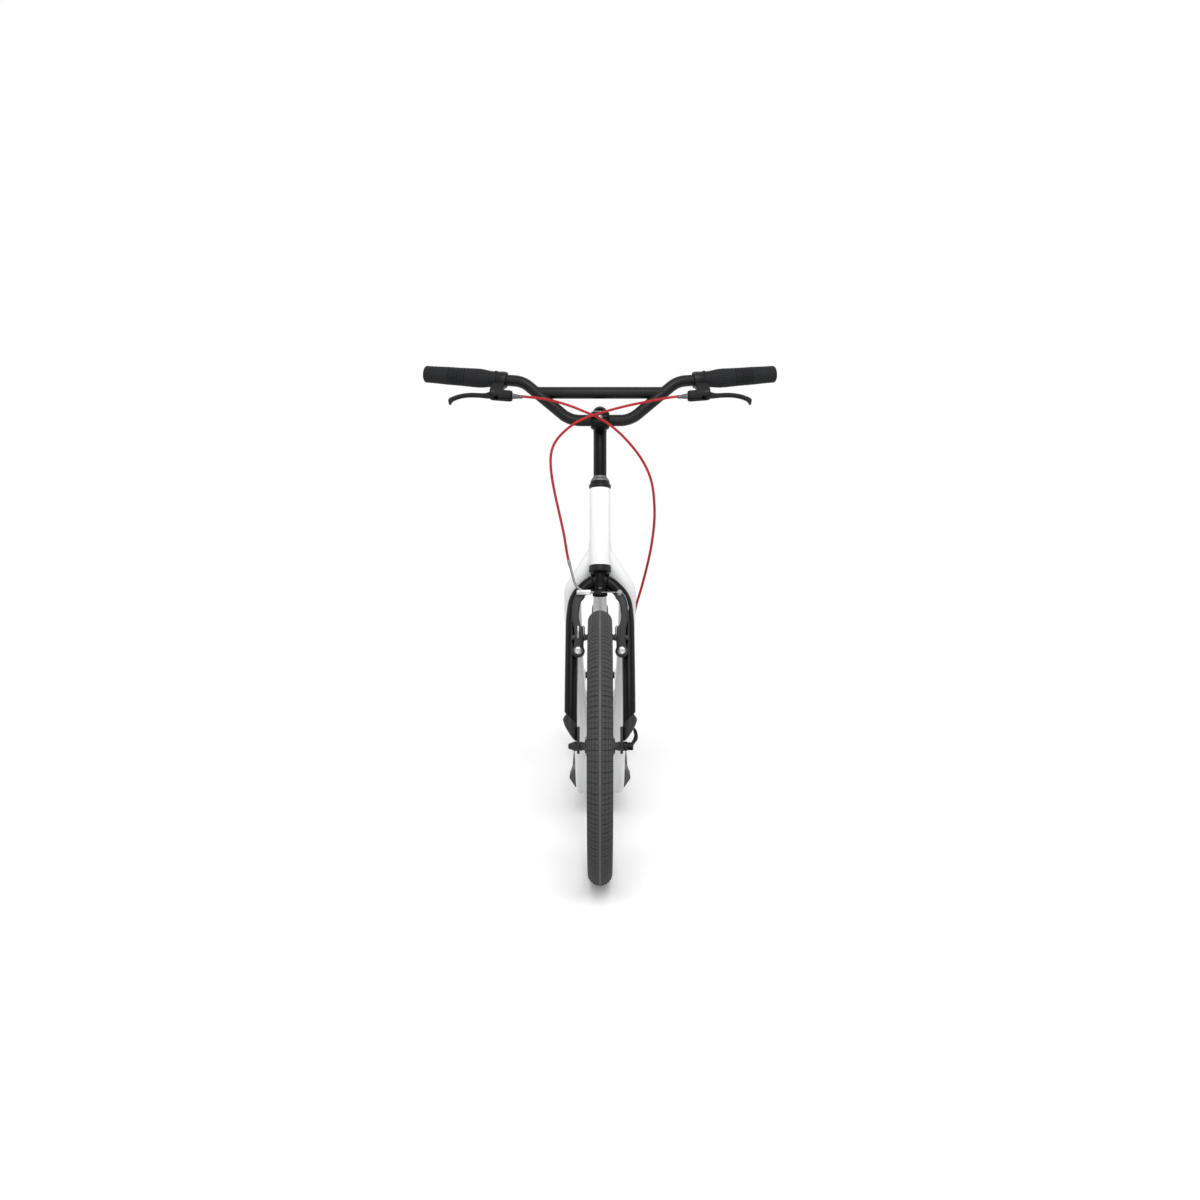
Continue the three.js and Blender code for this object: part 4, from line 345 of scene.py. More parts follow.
def lathe(profile, sides=48, closed=False):
    """A turned form about Z. The profile is radius and height, closed on itself or ending on the axis."""
    points, rows, faces = [], [], []
    for radius, height in profile:
        rows.append([])
        for i in range(1 if radius < 1e-6 else sides):
            angle = 2 * math.pi * i / sides
            rows[-1].append(len(points))
            points.append((radius * math.cos(angle), radius * math.sin(angle), height))
    steps = len(rows) if closed else len(rows) - 1
    for r in range(steps):
        low, high = rows[r], rows[(r + 1) % len(rows)]
        for i in range(sides):
            j = (i + 1) % sides
            face = [low[i % len(low)], low[j % len(low)], high[j % len(high)], high[i % len(high)]]
            face = [v for k, v in enumerate(face) if v != face[k - 1]]
            if len(face) > 2:
                faces.append(face)
    return Shape(points, faces)


def thread(first, second, start, pitch, turns):
    """The zigzag outline of a screw thread along Z, between two radii, for a lathe."""
    made = []
    for k in range(turns):
        made += [(first, start + pitch * k), (second, start + pitch * (k + 0.5))]
    return made


def turned(profile, soft=0.6, sides=48, closed=False):
    """A turned form whose corners are a little rounded."""
    return lathe(soften(profile, soft, 2, closed), sides, closed)


def rod(start, end, radius, sides=24, soft=0.5):
    start, end = Vector(start), Vector(end)
    length = (end - start).length
    body = turned(((0, 0), (radius, 0), (radius, length), (0, length)), soft, sides)
    turn = Vector((0, 0, 1)).rotation_difference(end - start).to_matrix().to_4x4()
    return body.moved(Matrix.Translation(start) @ turn)


def prism(outline, low, high):
    count = len(outline)
    points = [(x, y, low) for x, y in outline] + [(x, y, high) for x, y in outline]
    faces = [tuple(reversed(range(count))), tuple(range(count, 2 * count))]
    faces += [(i, (i + 1) % count, count + (i + 1) % count, count + i) for i in range(count)]
    return Shape(points, faces)


def block(x, y, z):
    return prism([(x[0], y[0]), (x[1], y[0]), (x[1], y[1]), (x[0], y[1])], z[0], z[1])


def sweep(path, section, across=None, scales=None):
    """A bar that follows a path, with one section or one for each place of the path.

    The section's first axis starts out along the given direction.
    """
    path = [Vector(p) for p in path]
    last = len(path) - 1
    tangents = [(path[min(i + 1, last)] - path[max(i - 1, 0)]).normalized() for i in range(len(path))]
    side = Vector(across) if across else tangents[0].orthogonal()
    side = (side - tangents[0] * side.dot(tangents[0])).normalized()
    rings = []
    for i, (place, tangent) in enumerate(zip(path, tangents)):
        if i:
            side = tangents[i - 1].rotation_difference(tangent) @ side
        side = (side - tangent * side.dot(tangent)).normalized()
        up = tangent.cross(side)
        grow = scales[i] if scales else (1, 1)
        outline = section[i] if isinstance(section[0], list) else section
        rings.append([place + side * u * grow[0] + up * v * grow[1] for u, v in outline])
    return loft(rings)


def tube(path, radius, sides):
    return sweep(path, circle(radius, sides))


def loft(rings):
    """A closed form through rings of equally many points."""
    count = len(rings[0])
    points = [p for ring in rings for p in ring]
    faces = [tuple(reversed(range(count))), tuple(range(len(points) - count, len(points)))]
    for i in range(len(rings) - 1):
        for k in range(count):
            j = (k + 1) % count
            faces.append((i * count + k, i * count + j, (i + 1) * count + j, (i + 1) * count + k))
    return Shape(points, faces)


def smooth(points, spacing):
    """Evenly spaced points of a centripetal curve through the given ones."""
    steps_between = 24
    given = [Vector(p) for p in points]
    given = [2 * given[0] - given[1], *given, 2 * given[-1] - given[-2]]
    dense = []
    for a, b, c, d in zip(given, given[1:], given[2:], given[3:]):
        before, here, after = (math.sqrt((q - p).length) for p, q in ((a, b), (b, c), (c, d)))
        leave = ((b - a) / before - (c - a) / (before + here) + (c - b) / here) * here
        reach = ((c - b) / here - (d - b) / (here + after) + (d - c) / after) * here
        for k in range(steps_between):
            t = k / steps_between
            dense.append(b * (2 * t ** 3 - 3 * t ** 2 + 1) + leave * (t ** 3 - 2 * t ** 2 + t)
                         + c * (3 * t ** 2 - 2 * t ** 3) + reach * (t ** 3 - t ** 2))
    dense.append(given[-2])
    lengths = [0.0]
    for a, b in zip(dense, dense[1:]):
        lengths.append(lengths[-1] + (b - a).length)
    steps = max(2, round(lengths[-1] / spacing))
    made, place = [], 0
    for i in range(steps + 1):
        target = lengths[-1] * i / steps
        while place < len(dense) - 2 and lengths[place + 1] < target:
            place += 1
        span = lengths[place + 1] - lengths[place]
        made.append(dense[place].lerp(dense[place + 1], (target - lengths[place]) / span if span else 0))
    return made


def rounded_path(corners, bend, steps):
    """Straight runs whose corners are arcs of the bend radius."""
    path = [corners[0]]
    for back, corner, on in zip(corners, corners[1:], corners[2:]):
        to_back, to_on = (back - corner).normalized(), (on - corner).normalized()
        half = to_back.angle(to_on) / 2
        centre = corner + (to_back + to_on).normalized() * (bend / math.sin(half))
        spoke = corner + to_back * (bend / math.tan(half)) - centre
        axis = spoke.cross(to_on).normalized()
        for k in range(steps + 1):
            path.append(centre + Matrix.Rotation((math.pi - 2 * half) * k / steps, 3, axis) @ spoke)
    path.append(corners[-1])
    return path


def bead(radius, thick, sides=32):
    """A weld bead or a round wire ring about Z."""
    return lathe([(radius + x, z) for x, z in circle(thick, 8)], sides, closed=True)


def ring_at(radius, height, sides=24):
    return [(x, y, height) for x, y in circle(radius, sides)]


def hexagon_at(half_flats, height, sides=24):
    """A hexagon with as many points as the rings that it is lofted to."""
    made = []
    for i in range(sides):
        angle = 2 * math.pi * i / sides
        reach = half_flats / math.cos((angle + math.pi / 6) % (math.pi / 3) - math.pi / 6)
        made.append((reach * math.cos(angle), reach * math.sin(angle), height))
    return made


def cap_screw(radius, tall, socket, dome=0.8, deep=2.5):
    """A screw head with a hexagon socket, standing on Z = 0."""
    return loft([
        ring_at(radius, 0), ring_at(radius, tall - dome), ring_at(radius - 0.3 * dome, tall - 0.35 * dome),
        ring_at(radius - dome, tall), hexagon_at(socket, tall), hexagon_at(socket, tall - deep),
    ])


def hex_nut(half_flats, foot, head):
    """A chamfered nut along Z."""
    edge = 0.9
    corner = half_flats * 1.04
    return loft([
        ring_at(half_flats - 0.3, foot), hexagon_at(half_flats, foot + edge / 2),
        hexagon_at(half_flats, head - edge), ring_at(corner - edge, head), ring_at(corner / 2, head),
    ])


def fluted(heights, radius_at, sides):
    """A closed form about Z whose radius depends on the height and on the angle."""
    rings = []
    for z in heights:
        rings.append([])
        for i in range(sides):
            angle = 2 * math.pi * i / sides
            reach = radius_at(z, angle)
            rings[-1].append((reach * math.cos(angle), reach * math.sin(angle), z))
    return loft(rings)


def blend_between(knots, x):
    """A value between knots of place and value, easing in and out of each."""
    for (a, low), (b, high) in zip(knots, knots[1:]):
        if x <= b:
            t = max(0.0, (x - a) / (b - a))
            return low + (high - low) * t * t * (3 - 2 * t)
    return knots[-1][1]


def along_x(shape):
    return shape.moved(ALONG_X)


def turned_about(point, angle):
    """A turn about the line along Z through a point."""
    return Matrix.Translation(point) @ Matrix.Rotation(angle, 4, "Z") @ Matrix.Translation(-Vector(point))


def onto(place, direction):
    """The matrix that stands a form made along Z at a place, along a direction."""
    turn = Vector((0, 0, 1)).rotation_difference(Vector(direction)).to_matrix().to_4x4()
    return Matrix.Translation(place) @ turn


# Materials


def colour(code):
    """An sRGB hex colour as a linear one."""
    values = [int(code[i : i + 2], 16) / 255 for i in (1, 3, 5)]
    return [v / 12.92 if v <= 0.04045 else ((v + 0.055) / 1.055) ** 2.4 for v in values] + [1]


def add(tree, kind, inputs=None, **settings):
    """A node with its settings, and its inputs set or linked."""
    node = tree.nodes.new(kind)
    for name, value in settings.items():
        setattr(node, name, value)
    for name, value in (inputs or {}).items():
        if isinstance(value, bpy.types.NodeSocket):
            tree.links.new(value, node.inputs[name])
        else:
            node.inputs[name].default_value = value
    return node


def per_mm(size):
    """The scale of a pattern whose features are that many millimetres across."""
    return 1 / (size * MM)


def surface(name, slot, tones, rough, patch, grain, depth, metallic=0.0, coat=0.0, specular=0.5, relief=None):
    """A finish whose tone and gloss drift over patches, with a fine grain, sizes in millimetres."""
    material = bpy.data.materials.new(name)
    material.use_nodes = True
    tree = material.node_tree
    tree.nodes.clear()
    place = add(tree, "ShaderNodeTexCoord").outputs["Object"]
    patches = add(tree, "ShaderNodeTexNoise", {"Vector": place, "Scale": per_mm(patch), "Detail": 2.0})
    drift = add(tree, "ShaderNodeMapRange",
                {"Value": patches.outputs["Fac"], "From Min": 0.25, "From Max": 0.75})
    tone = add(tree, "ShaderNodeMix", {0: drift.outputs["Result"], 6: colour(tones[0]), 7: colour(tones[1])},
               data_type="RGBA")
    gloss = add(tree, "ShaderNodeMapRange",
                {"Value": patches.outputs["Fac"], "From Min": 0.25, "From Max": 0.75,
                 "To Min": rough[0], "To Max": rough[1]})
    grains = add(tree, "ShaderNodeTexNoise", {"Vector": place, "Scale": per_mm(grain), "Detail": 2.0})
    bump = add(tree, "ShaderNodeBump",
               {"Height": grains.outputs["Fac"], "Distance": depth * MM, "Strength": 1.0})
    base = tone.outputs[2]
    if relief:
        base, bump = relief(tree, place, base, bump)
    shader = add(tree, "ShaderNodeBsdfPrincipled",
                 {"Base Color": base, "Roughness": gloss.outputs["Result"], "Metallic": metallic,
                  "Specular IOR Level": specular, "Coat Weight": coat, "Coat Roughness": 0.08,
                  "Normal": bump.outputs["Normal"]})
    add(tree, "ShaderNodeOutputMaterial", {"Surface": shader.outputs["BSDF"]})
    return Sizes(material=material, slot=slot)


def lathe_marks(centre):
    """Rings about the axle's line, such as a cutting tool leaves."""

    def relief(tree, place, base, bump):
        about = add(tree, "ShaderNodeMapping", {"Vector": place, "Location": [-x for x in centre]})
        # Real tool marks are 0.1 mm apart. A wave of the texture is 2 pi / 20 of its unit long, so these
        # are drawn 0.8 * 2 pi = 5 mm apart, and show.
        rings = add(tree, "ShaderNodeTexWave", {"Vector": about.outputs["Vector"], "Scale": per_mm(0.8) / 20},
                    wave_type="RINGS", rings_direction="X")
        cut = add(tree, "ShaderNodeBump",
                  {"Height": rings.outputs["Fac"], "Distance": 0.05 * MM, "Strength": 0.6,
                   "Normal": bump.outputs["Normal"]})
        return base, cut

    return relief


def dusty(tree, place, base, bump):
    """Pale dust on moulded rubber, in specks of about 1.5 mm."""
    specks = add(tree, "ShaderNodeTexNoise", {"Vector": place, "Scale": per_mm(1.5), "Detail": 6.0})
    share = add(tree, "ShaderNodeMapRange",
                {"Value": specks.outputs["Fac"], "From Min": 0.5, "From Max": 0.8, "To Max": 0.12})
    tone = add(tree, "ShaderNodeMix", {0: share.outputs["Result"], 6: base, 7: colour("#77756f")},
               data_type="RGBA")
    return tone.outputs[2], bump


def moulded_texture(tree, place, base, bump):
    """The pebbled face of a spark-eroded mould: cells of about 0.9 mm."""
    cells = add(tree, "ShaderNodeTexVoronoi", {"Vector": place, "Scale": per_mm(0.9)})
    pebbles = add(tree, "ShaderNodeBump",
                  {"Height": cells.outputs["Distance"], "Distance": 0.12 * MM, "Strength": 0.7,
                   "Normal": bump.outputs["Normal"]})
    return base, pebbles


def metres(matrix, point):
    return (matrix @ Vector(point)) * MM


# Powder coat on steel tube: glossy, with a faint orange peel of about 2 mm.
WHITE_COAT = surface("white_powder_coat_on_steel", "white_paint", ("#e9eaea", "#e5e6e6"), (0.3, 0.37),
                     patch=60, grain=2.0, depth=0.02, coat=0.3)
BLACK_COAT = surface("black_gloss_powder_coat_on_steel", "black_paint", ("#060607", "#090909"), (0.24, 0.32),
                     patch=60, grain=2.0, depth=0.008, specular=0.13)
# Bead-blasted and anodised aluminium: the dyed layer is an even satin black with a very fine grain.
BLACK_ALLOY = surface("satin_black_anodised_aluminium", "black_paint", ("#0f0f10", "#121213"), (0.4, 0.46),
                      patch=50, grain=0.4, depth=0.008, specular=0.2)
# Tumbled die castings under a thin black coat: a duller face with soft casting grain.
CAST_ALLOY = surface("die_cast_aluminium_coated_black", "grey_alloy", ("#1d1d1e", "#212122"), (0.42, 0.52),
                     patch=30, grain=0.9, depth=0.03, specular=0.32)
# A turned steel nut under satin nickel plate: an even, soft grey.
NUT_STEEL = surface("satin_nickel_plated_steel", "bright_steel", ("#77787a", "#6e6f71"), (0.5, 0.58),
                    patch=16, grain=0.5, depth=0.008, metallic=1.0)
# Machined aluminium, anodised grey: satin, a little darker than bare metal.
GREY_ALLOY = surface("grey_anodised_aluminium", "grey_alloy", ("#5c5d5f", "#545557"), (0.36, 0.44),
                     patch=20, grain=0.4, depth=0.008, metallic=1.0)
# Extruded aluminium, rolled to a hoop and anodised black.
RIM_ALLOY = surface("black_anodised_extruded_rim", "black_rim", ("#111112", "#141415"), (0.32, 0.4),
                    patch=50, grain=0.5, depth=0.008, specular=0.3)
# Small pressed and turned steel parts under bright zinc: pale, with a cool sheen.
ZINC = surface("bright_zinc_plated_steel", "bright_steel", ("#a9aaab", "#9c9d9f"), (0.3, 0.4),
               patch=12, grain=0.5, depth=0.008, metallic=1.0)
# Steel fasteners, blackened in a hot oxide bath: dark, with a faint oily sheen.
BLACKED_STEEL = surface("black_oxide_steel", "bright_steel", ("#232325", "#2a2a2c"), (0.36, 0.46),
                        patch=10, grain=0.5, depth=0.01, specular=0.4)
# Bent stainless tube, tumbled: it mirrors the studio softly.
STAINLESS = surface("tumbled_stainless_tube", "bright_steel", ("#7f8082", "#747577"), (0.28, 0.36),
                    patch=12, grain=0.6, depth=0.006, metallic=1.0)
# Cold drawn wire, a little dulled by dust.
SPOKE_WIRE = surface("drawn_stainless_spoke_wire", "hub_alloy", ("#6f7072", "#626365"), (0.3, 0.4),
                     patch=20, grain=0.4, depth=0.008, metallic=1.0)
# Turned brass under thin nickel plate: a warm pale grey.
BRASS = surface("nickel_plated_brass", "hub_alloy", ("#a5a39d", "#979590"), (0.28, 0.38),
                patch=10, grain=0.4, depth=0.01, metallic=1.0)
# Hub shells turned from bar and anodised black: fine rings of tool marks show in the sheen.
FRONT_HUB_ALLOY, REAR_HUB_ALLOY = (
    surface(f"black_anodised_turned_{name}_hub", "hub_alloy", ("#1b1b1d", "#202022"), (0.34, 0.42),
            patch=20, grain=0.6, depth=0.008, specular=0.4, relief=lathe_marks(hub.translation * MM))
    for name, hub in (("front", FRONT_HUB), ("rear", REAR_HUB))
)
# Vulcanised tread rubber: dull, greyed by specks of dust.
TREAD_RUBBER = surface("vulcanised_tyre_rubber", "tyre_rubber", ("#3f3f40", "#444445"), (0.74, 0.82),
                       patch=60, grain=0.8, depth=0.05, specular=0.25, relief=dusty)
# The tyre's wall is cleaner and darker than its tread.
WALL_RUBBER = surface("vulcanised_tyre_wall_rubber", "tyre_rubber", ("#29292a", "#2e2e2f"), (0.7, 0.78),
                      patch=60, grain=0.8, depth=0.04, specular=0.25)
# The rib that runs on the road is drawn paler and a little glossier than the tread blocks.
PALE_RIB_RUBBER = surface("road_polished_tyre_rubber", "tyre_rubber", ("#515152", "#4c4c4d"), (0.6, 0.68),
                      patch=30, grain=0.8, depth=0.03, specular=0.3)
# Soft black rubber mouldings: inner tubes and boots, grips, and brake pads, from smooth to dull.
BUTYL = surface("moulded_butyl_rubber", "black_rubber", ("#131314", "#171718"), (0.62, 0.72),
                patch=20, grain=0.6, depth=0.02, specular=0.25)
GRIP_RUBBER = surface("moulded_grip_rubber", "black_rubber", ("#111214", "#141517"), (0.66, 0.74),
                      patch=40, grain=0.5, depth=0.03, specular=0.25)
PAD_RUBBER = surface("moulded_brake_pad_rubber", "black_rubber", ("#141415", "#1a1a1b"), (0.75, 0.85),
                     patch=14, grain=0.7, depth=0.04, specular=0.25)
# Glass-filled nylon moulding: matt, pebbled so that a shoe grips it.
DECK_NYLON = surface("glass_filled_nylon_deck", "board_plastic", ("#303132", "#343536"), (0.6, 0.7),
                     patch=40, grain=0.7, depth=0.03, specular=0.35, relief=moulded_texture)
# The same nylon, drawn paler all over: painted light, standing in for the light on the corners' tops.
BUMPER_NYLON_WITH_PAINTED_LIGHT = surface("moulded_nylon_bumper", "grey_alloy", ("#464748", "#4b4c4d"), (0.5, 0.6),
                       patch=30, grain=0.8, depth=0.03, specular=0.4, relief=moulded_texture)
# Injection-moulded acetal: hard, with a low sheen.
BLACK_PLASTIC = surface("moulded_black_acetal", "black_rubber", ("#121213", "#161617"), (0.4, 0.5),
                        patch=20, grain=0.5, depth=0.01, specular=0.35)
# Extruded PVC over the steel liner of a brake housing: smooth, with a soft gloss.
RED_PVC = surface("extruded_red_pvc_housing", "cable_red", ("#a70c13", "#9c0a11"), (0.42, 0.5),
                  patch=40, grain=1.2, depth=0.003, specular=0.3)
# Hardened rings, ground bright.
BEARING_STEEL = surface("ground_bearing_steel", "bright_steel", ("#a9abad", "#9c9ea0"), (0.25, 0.35),
                        patch=10, grain=0.3, depth=0.006, metallic=1.0)


# Pieces


def copies_tree():
    """A tree that stands copies of a piece in a row or in a ring."""
    tree = bpy.data.node_groups.new("row_or_ring_of_copies", "GeometryNodeTree")
    tree.is_modifier = True
    face = tree.interface
    face.new_socket("Piece", in_out="INPUT", socket_type="NodeSocketGeometry")
    sockets = {
        name: face.new_socket(name, in_out="INPUT", socket_type=kind).identifier
        for name, kind in (("Count", "NodeSocketInt"), ("Turn each", "NodeSocketVector"),
                           ("Step each", "NodeSocketVector"), ("Finish", "NodeSocketMaterial"))
    }
    face.new_socket("Geometry", in_out="OUTPUT", socket_type="NodeSocketGeometry")
    given = add(tree, "NodeGroupInput").outputs
    places = add(tree, "GeometryNodeMeshLine", {"Count": given["Count"], "Offset": given["Step each"]},
                 mode="OFFSET")
    number = add(tree, "GeometryNodeInputIndex")
    turn = add(tree, "ShaderNodeVectorMath", {0: given["Turn each"], "Scale": number.outputs["Index"]},
               operation="SCALE")
    copies = add(tree, "GeometryNodeInstanceOnPoints",
                 {"Points": places.outputs["Mesh"], "Instance": given["Piece"],
                  "Rotation": turn.outputs["Vector"]})
    real = add(tree, "GeometryNodeRealizeInstances", {"Geometry": copies.outputs["Instances"]})
    finished = add(tree, "GeometryNodeSetMaterial",
                   {"Geometry": real.outputs["Geometry"], "Material": given["Finish"]})
    add(tree, "NodeGroupOutput", {"Geometry": finished.outputs["Geometry"]})
    return tree, sockets


COPIES, COPIES_SOCKETS = copies_tree()


def make_piece(name, shape, place, finish, body, node=None, copies=None):
    """A finished piece of the object, placed by its vertices, riding on a body of the frame.

    Copies are given as how many, the turn from each to the next, and the step from each to the next.
    """
    form = shape.as_bmesh()
    for edge in form.edges:
        edge.smooth = len(edge.link_faces) == 2 and edge.calc_face_angle(0) < CREASE_ANGLE
    for face in form.faces:
        face.smooth = True
    mesh = bpy.data.meshes.new(name)
    form.to_mesh(mesh)
    form.free()
    obj = bpy.data.objects.new(name, mesh)
    bpy.context.scene.collection.objects.link(obj)
    if copies:
        count, turn, step = copies
        modifier = obj.modifiers.new("copies", "NODES")
        modifier.node_group = COPIES
        modifier[COPIES_SOCKETS["Count"]] = count
        modifier[COPIES_SOCKETS["Turn each"]] = turn
        modifier[COPIES_SOCKETS["Step each"]] = step
        modifier[COPIES_SOCKETS["Finish"]] = finish.material
        bpy.context.view_layer.update()
        plain = bpy.data.meshes.new_from_object(obj.evaluated_get(bpy.context.evaluated_depsgraph_get()))
        obj.modifiers.remove(modifier)
        obj.data = plain
        plain.name = name
        bpy.data.meshes.remove(mesh)
        mesh = plain
    else:
        mesh.materials.append(finish.material)
    mesh.transform(Matrix.Scale(MM, 4) @ place)
    if body:
        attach(obj, body)
    if node:
        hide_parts(node)
    return obj


def on_bars(name, shape, finish, node):
    """A piece given in the steering's frame that turns with the bar and the fork."""
    make_piece(name, shape, STEERING, finish, "fork", node)


def make_pair(name, left_shape, place, finish, body, node):
    """A piece on the rider's left and its mirror image on the right. In body and node, {} is the side."""
    for side, shape in (("left", left_shape), ("right", left_shape.moved(MIRROR))):
        make_piece(f"{side}_{name}", shape, place, finish, body.format(side), node.format(side))


# The camera stands where the photograph was taken from.


def add_camera():
    data = bpy.data.cameras.new("camera")
    data.lens = 37.5
    camera = bpy.data.objects.new("camera", data)
    camera.location = (0, -2.767, 0.787)
    camera.rotation_euler = (math.radians(90 - 6.6), 0, 0)
    bpy.context.scene.collection.objects.link(camera)
    bpy.context.scene.camera = camera


add_camera()

# Cable housings, each running between the two bodies that hold its ends.


def housing(route):
    """A cable's housing along a route, with its bends evened out."""
    path = smooth(route, 4)
    for _ in range(HOUSING_RELAX_STEPS):
        path = [path[0], *((a + 2 * b + c) / 4 for a, b, c in zip(path, path[1:], path[2:])), path[-1]]
    return tube(path, CABLE_RADIUS, 14)


def cable_clips():
    """Rings that hold the rear housing to the frame, at some points of its route."""
    half = CLIP.half_long
    ring = turned(((CLIP.inner, -half), (CLIP.outer, -half), (CLIP.outer, half), (CLIP.inner, half)), 0.5, 24,
                  closed=True)
    clips = Shape([], [])
    for i in CLIP.at:
        ahead = Vector(FRAME_CABLE_ROUTE[i + 1]) - Vector(FRAME_CABLE_ROUTE[i - 1])
        clips += ring.moved(onto(FRAME_CABLE_ROUTE[i], ahead))
    return clips


def add_cables():
    front = make_piece("front_brake_housing", housing(FRONT_CABLE_ROUTE), STEERING, RED_PVC, None,
                       "front_brake_cable")
    metres(STEERING, FRONT_CABLE_ROUTE[9])
    metres(STEERING, FRONT_CABLE_ROUTE[-1])
    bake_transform(front)
    free = make_piece("rear_brake_free_housing", housing(REAR_CABLE_ROUTE), CHASSIS, RED_PVC, None,
                      "rear_brake_cable_free")
    metres(CHASSIS, REAR_CABLE_ROUTE[-1])
    metres(CHASSIS, REAR_CABLE_ROUTE[1])
    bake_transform(free)
    make_piece("rear_brake_frame_housing", housing(FRAME_CABLE_ROUTE), CHASSIS, RED_PVC, "frame",
               "rear_brake_cable_on_frame")
    tail = make_piece("rear_brake_tail_housing", housing(TAIL_CABLE_ROUTE), CHASSIS, RED_PVC, None,
                      "rear_brake_cable_tail")
    metres(CHASSIS, TAIL_CABLE_ROUTE[0])
    metres(CHASSIS, TAIL_CABLE_ROUTE[-1])
    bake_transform(tail)
    make_piece("housing_clips", cable_clips(), CHASSIS, BLACK_PLASTIC, "frame")


add_cables()

# Wheels


def tyre_profile(wheel):
    """The tyre's section from one bead over the crown to the other: radius from the axle and reach across."""
    half = wheel.tyre_width / 2
    centre = wheel.radius - half
    bead_out = RIM.half - RIM.wall - GAP
    bead_in = bead_out - TYRE.wall
    reach = half * (math.pi - math.asin(bead_out / half))
    crown = half * math.radians(TYRE.crown_deg)
    # Knots of depth under the full section, by the distance along it from the middle of the crown.
    knots = [(0, TYRE.rib_sunk), (TYRE.rib_half - TYRE.rib_edge, TYRE.rib_sunk), (TYRE.rib_half, TYRE.tread),
             (crown, TYRE.tread), (crown + TYRE.shoulder, TYRE.wall_sunk)]
    for place in (*(crown + on for on in TYRE.lines), reach - TYRE.rim_line):
        knots += [(place + on, sunk) for on, sunk in WALL_LINE]
    knots.append((reach, TYRE.bead_sunk))
    side = []
    for (a, low), (b, high) in zip(knots, knots[1:]):
        steps = max(1, round((b - a) / 2))
        for k in range(steps):
            t = k / steps
            side.append((a + (b - a) * t, low + (high - low) * t))
    side.append(knots[-1])
    outer = []
    for place, depth in side:
        angle = place / half
        outer.append((centre + (half - depth) * math.cos(angle), (half - depth) * math.sin(angle)))
    foot = wheel.seat + GAP
    cavity = half - TYRE.wall
    inner_end = math.pi - math.asin(bead_in / cavity)
    inner = [(centre + cavity * math.cos(inner_end * k / 16), cavity * math.sin(inner_end * k / 16))
             for k in range(17)]
    one_side = [*outer, (foot, bead_out), (foot, bead_in), *reversed(inner)]
    other = [(r, -x) for r, x in reversed(one_side[1:-1])]
    return one_side + other


def tread_segment(wheel, count):
    """The tread blocks of one pitch, both sides of the rib."""
    half = wheel.tyre_width / 2
    centre = wheel.radius - half
    pitch = 2 * math.pi * wheel.radius / count

    def on_tyre(across, on, lift):
        out = half - TYRE.tread + lift
        angle, round_axle = across / half, on / wheel.radius
        radius = centre + out * math.cos(angle)
        return (out * math.sin(angle), radius * math.sin(round_axle), radius * math.cos(round_axle))

    blocks = []
    near, far = TYRE.sipe / 2, (pitch - TYRE.block_gap) / 2
    for low, high in TREAD_ROWS:
        for side, start, end in ((1, near, far), (1, -far, -near), (-1, near, far), (-1, -far, -near)):
            rings = []
            for inset, lift in TREAD_BLOCK_STEPS:
                a, b, c, d = low + inset, high - inset, start + inset, end - inset
                corners = ((a, c), (b, c), (b, d), (a, d))
                rings.append([on_tyre(side * across, on, lift) for across, on in corners])
            blocks.append(loft(rings))
    return joined(blocks)


def tread_rib(wheel):
    """The middle rib that runs on the road."""
    out, foot = wheel.radius, wheel.radius - TYRE.tread
    side = [(foot, TYRE.rib_half - GAP), (out - TYRE.rib_round, TYRE.rib_half - GAP),
            (out, TYRE.rib_half - GAP - TYRE.rib_edge)]
    return lathe([(r, -x) for r, x in side] + side[::-1], WHEEL_SIDES, closed=True)


def rim_profile(wheel):
    """The rim's section from the bed over both brake tracks, with a wear groove round each track."""
    seat = wheel.seat
    lip = RIM.half - RIM.wall
    ledge = lip - RIM.ledge
    side = [
        (seat - RIM.bed, RIM.bed_half), (seat - RIM.track, RIM.half), (seat - RIM.groove_foot, RIM.half),
        (seat - RIM.groove_middle, RIM.half - RIM.groove_deep), (seat - RIM.groove_top, RIM.half),
        (seat + RIM.lip, RIM.half), (seat + RIM.lip, lip), (seat, lip), (seat, ledge),
        (seat - RIM.well, ledge - RIM.chamfer),
    ]
    return [(r, -x) for r, x in side] + list(reversed(side))


def spoke_line(wheel, i):
    """Where spoke i leaves the hub's flange and where it meets the rim's bed."""
    side = 1 if i % 2 == 0 else -1
    trend = 1 if i % 4 < 2 else -1
    rim_angle = 2 * math.pi * (i + 0.5) / wheel.spokes
    hub_angle = rim_angle + trend * math.radians(SPOKE.cross_deg)
    flange = wheel.flange_out + HUB.flange_wide / 2

    def place_at(x, radius, angle):
        return Vector((x, radius * math.cos(angle), radius * math.sin(angle)))

    head = place_at(side * (flange - trend * SPOKE.elbow), SPOKE.circle, hub_angle)
    elbow = place_at(side * (flange + trend * SPOKE.elbow), SPOKE.circle, hub_angle)
    rim = place_at(side * SPOKE.rim_spread, wheel.seat - RIM.bed + SPOKE.in_rim, rim_angle)
    return head, elbow, rim


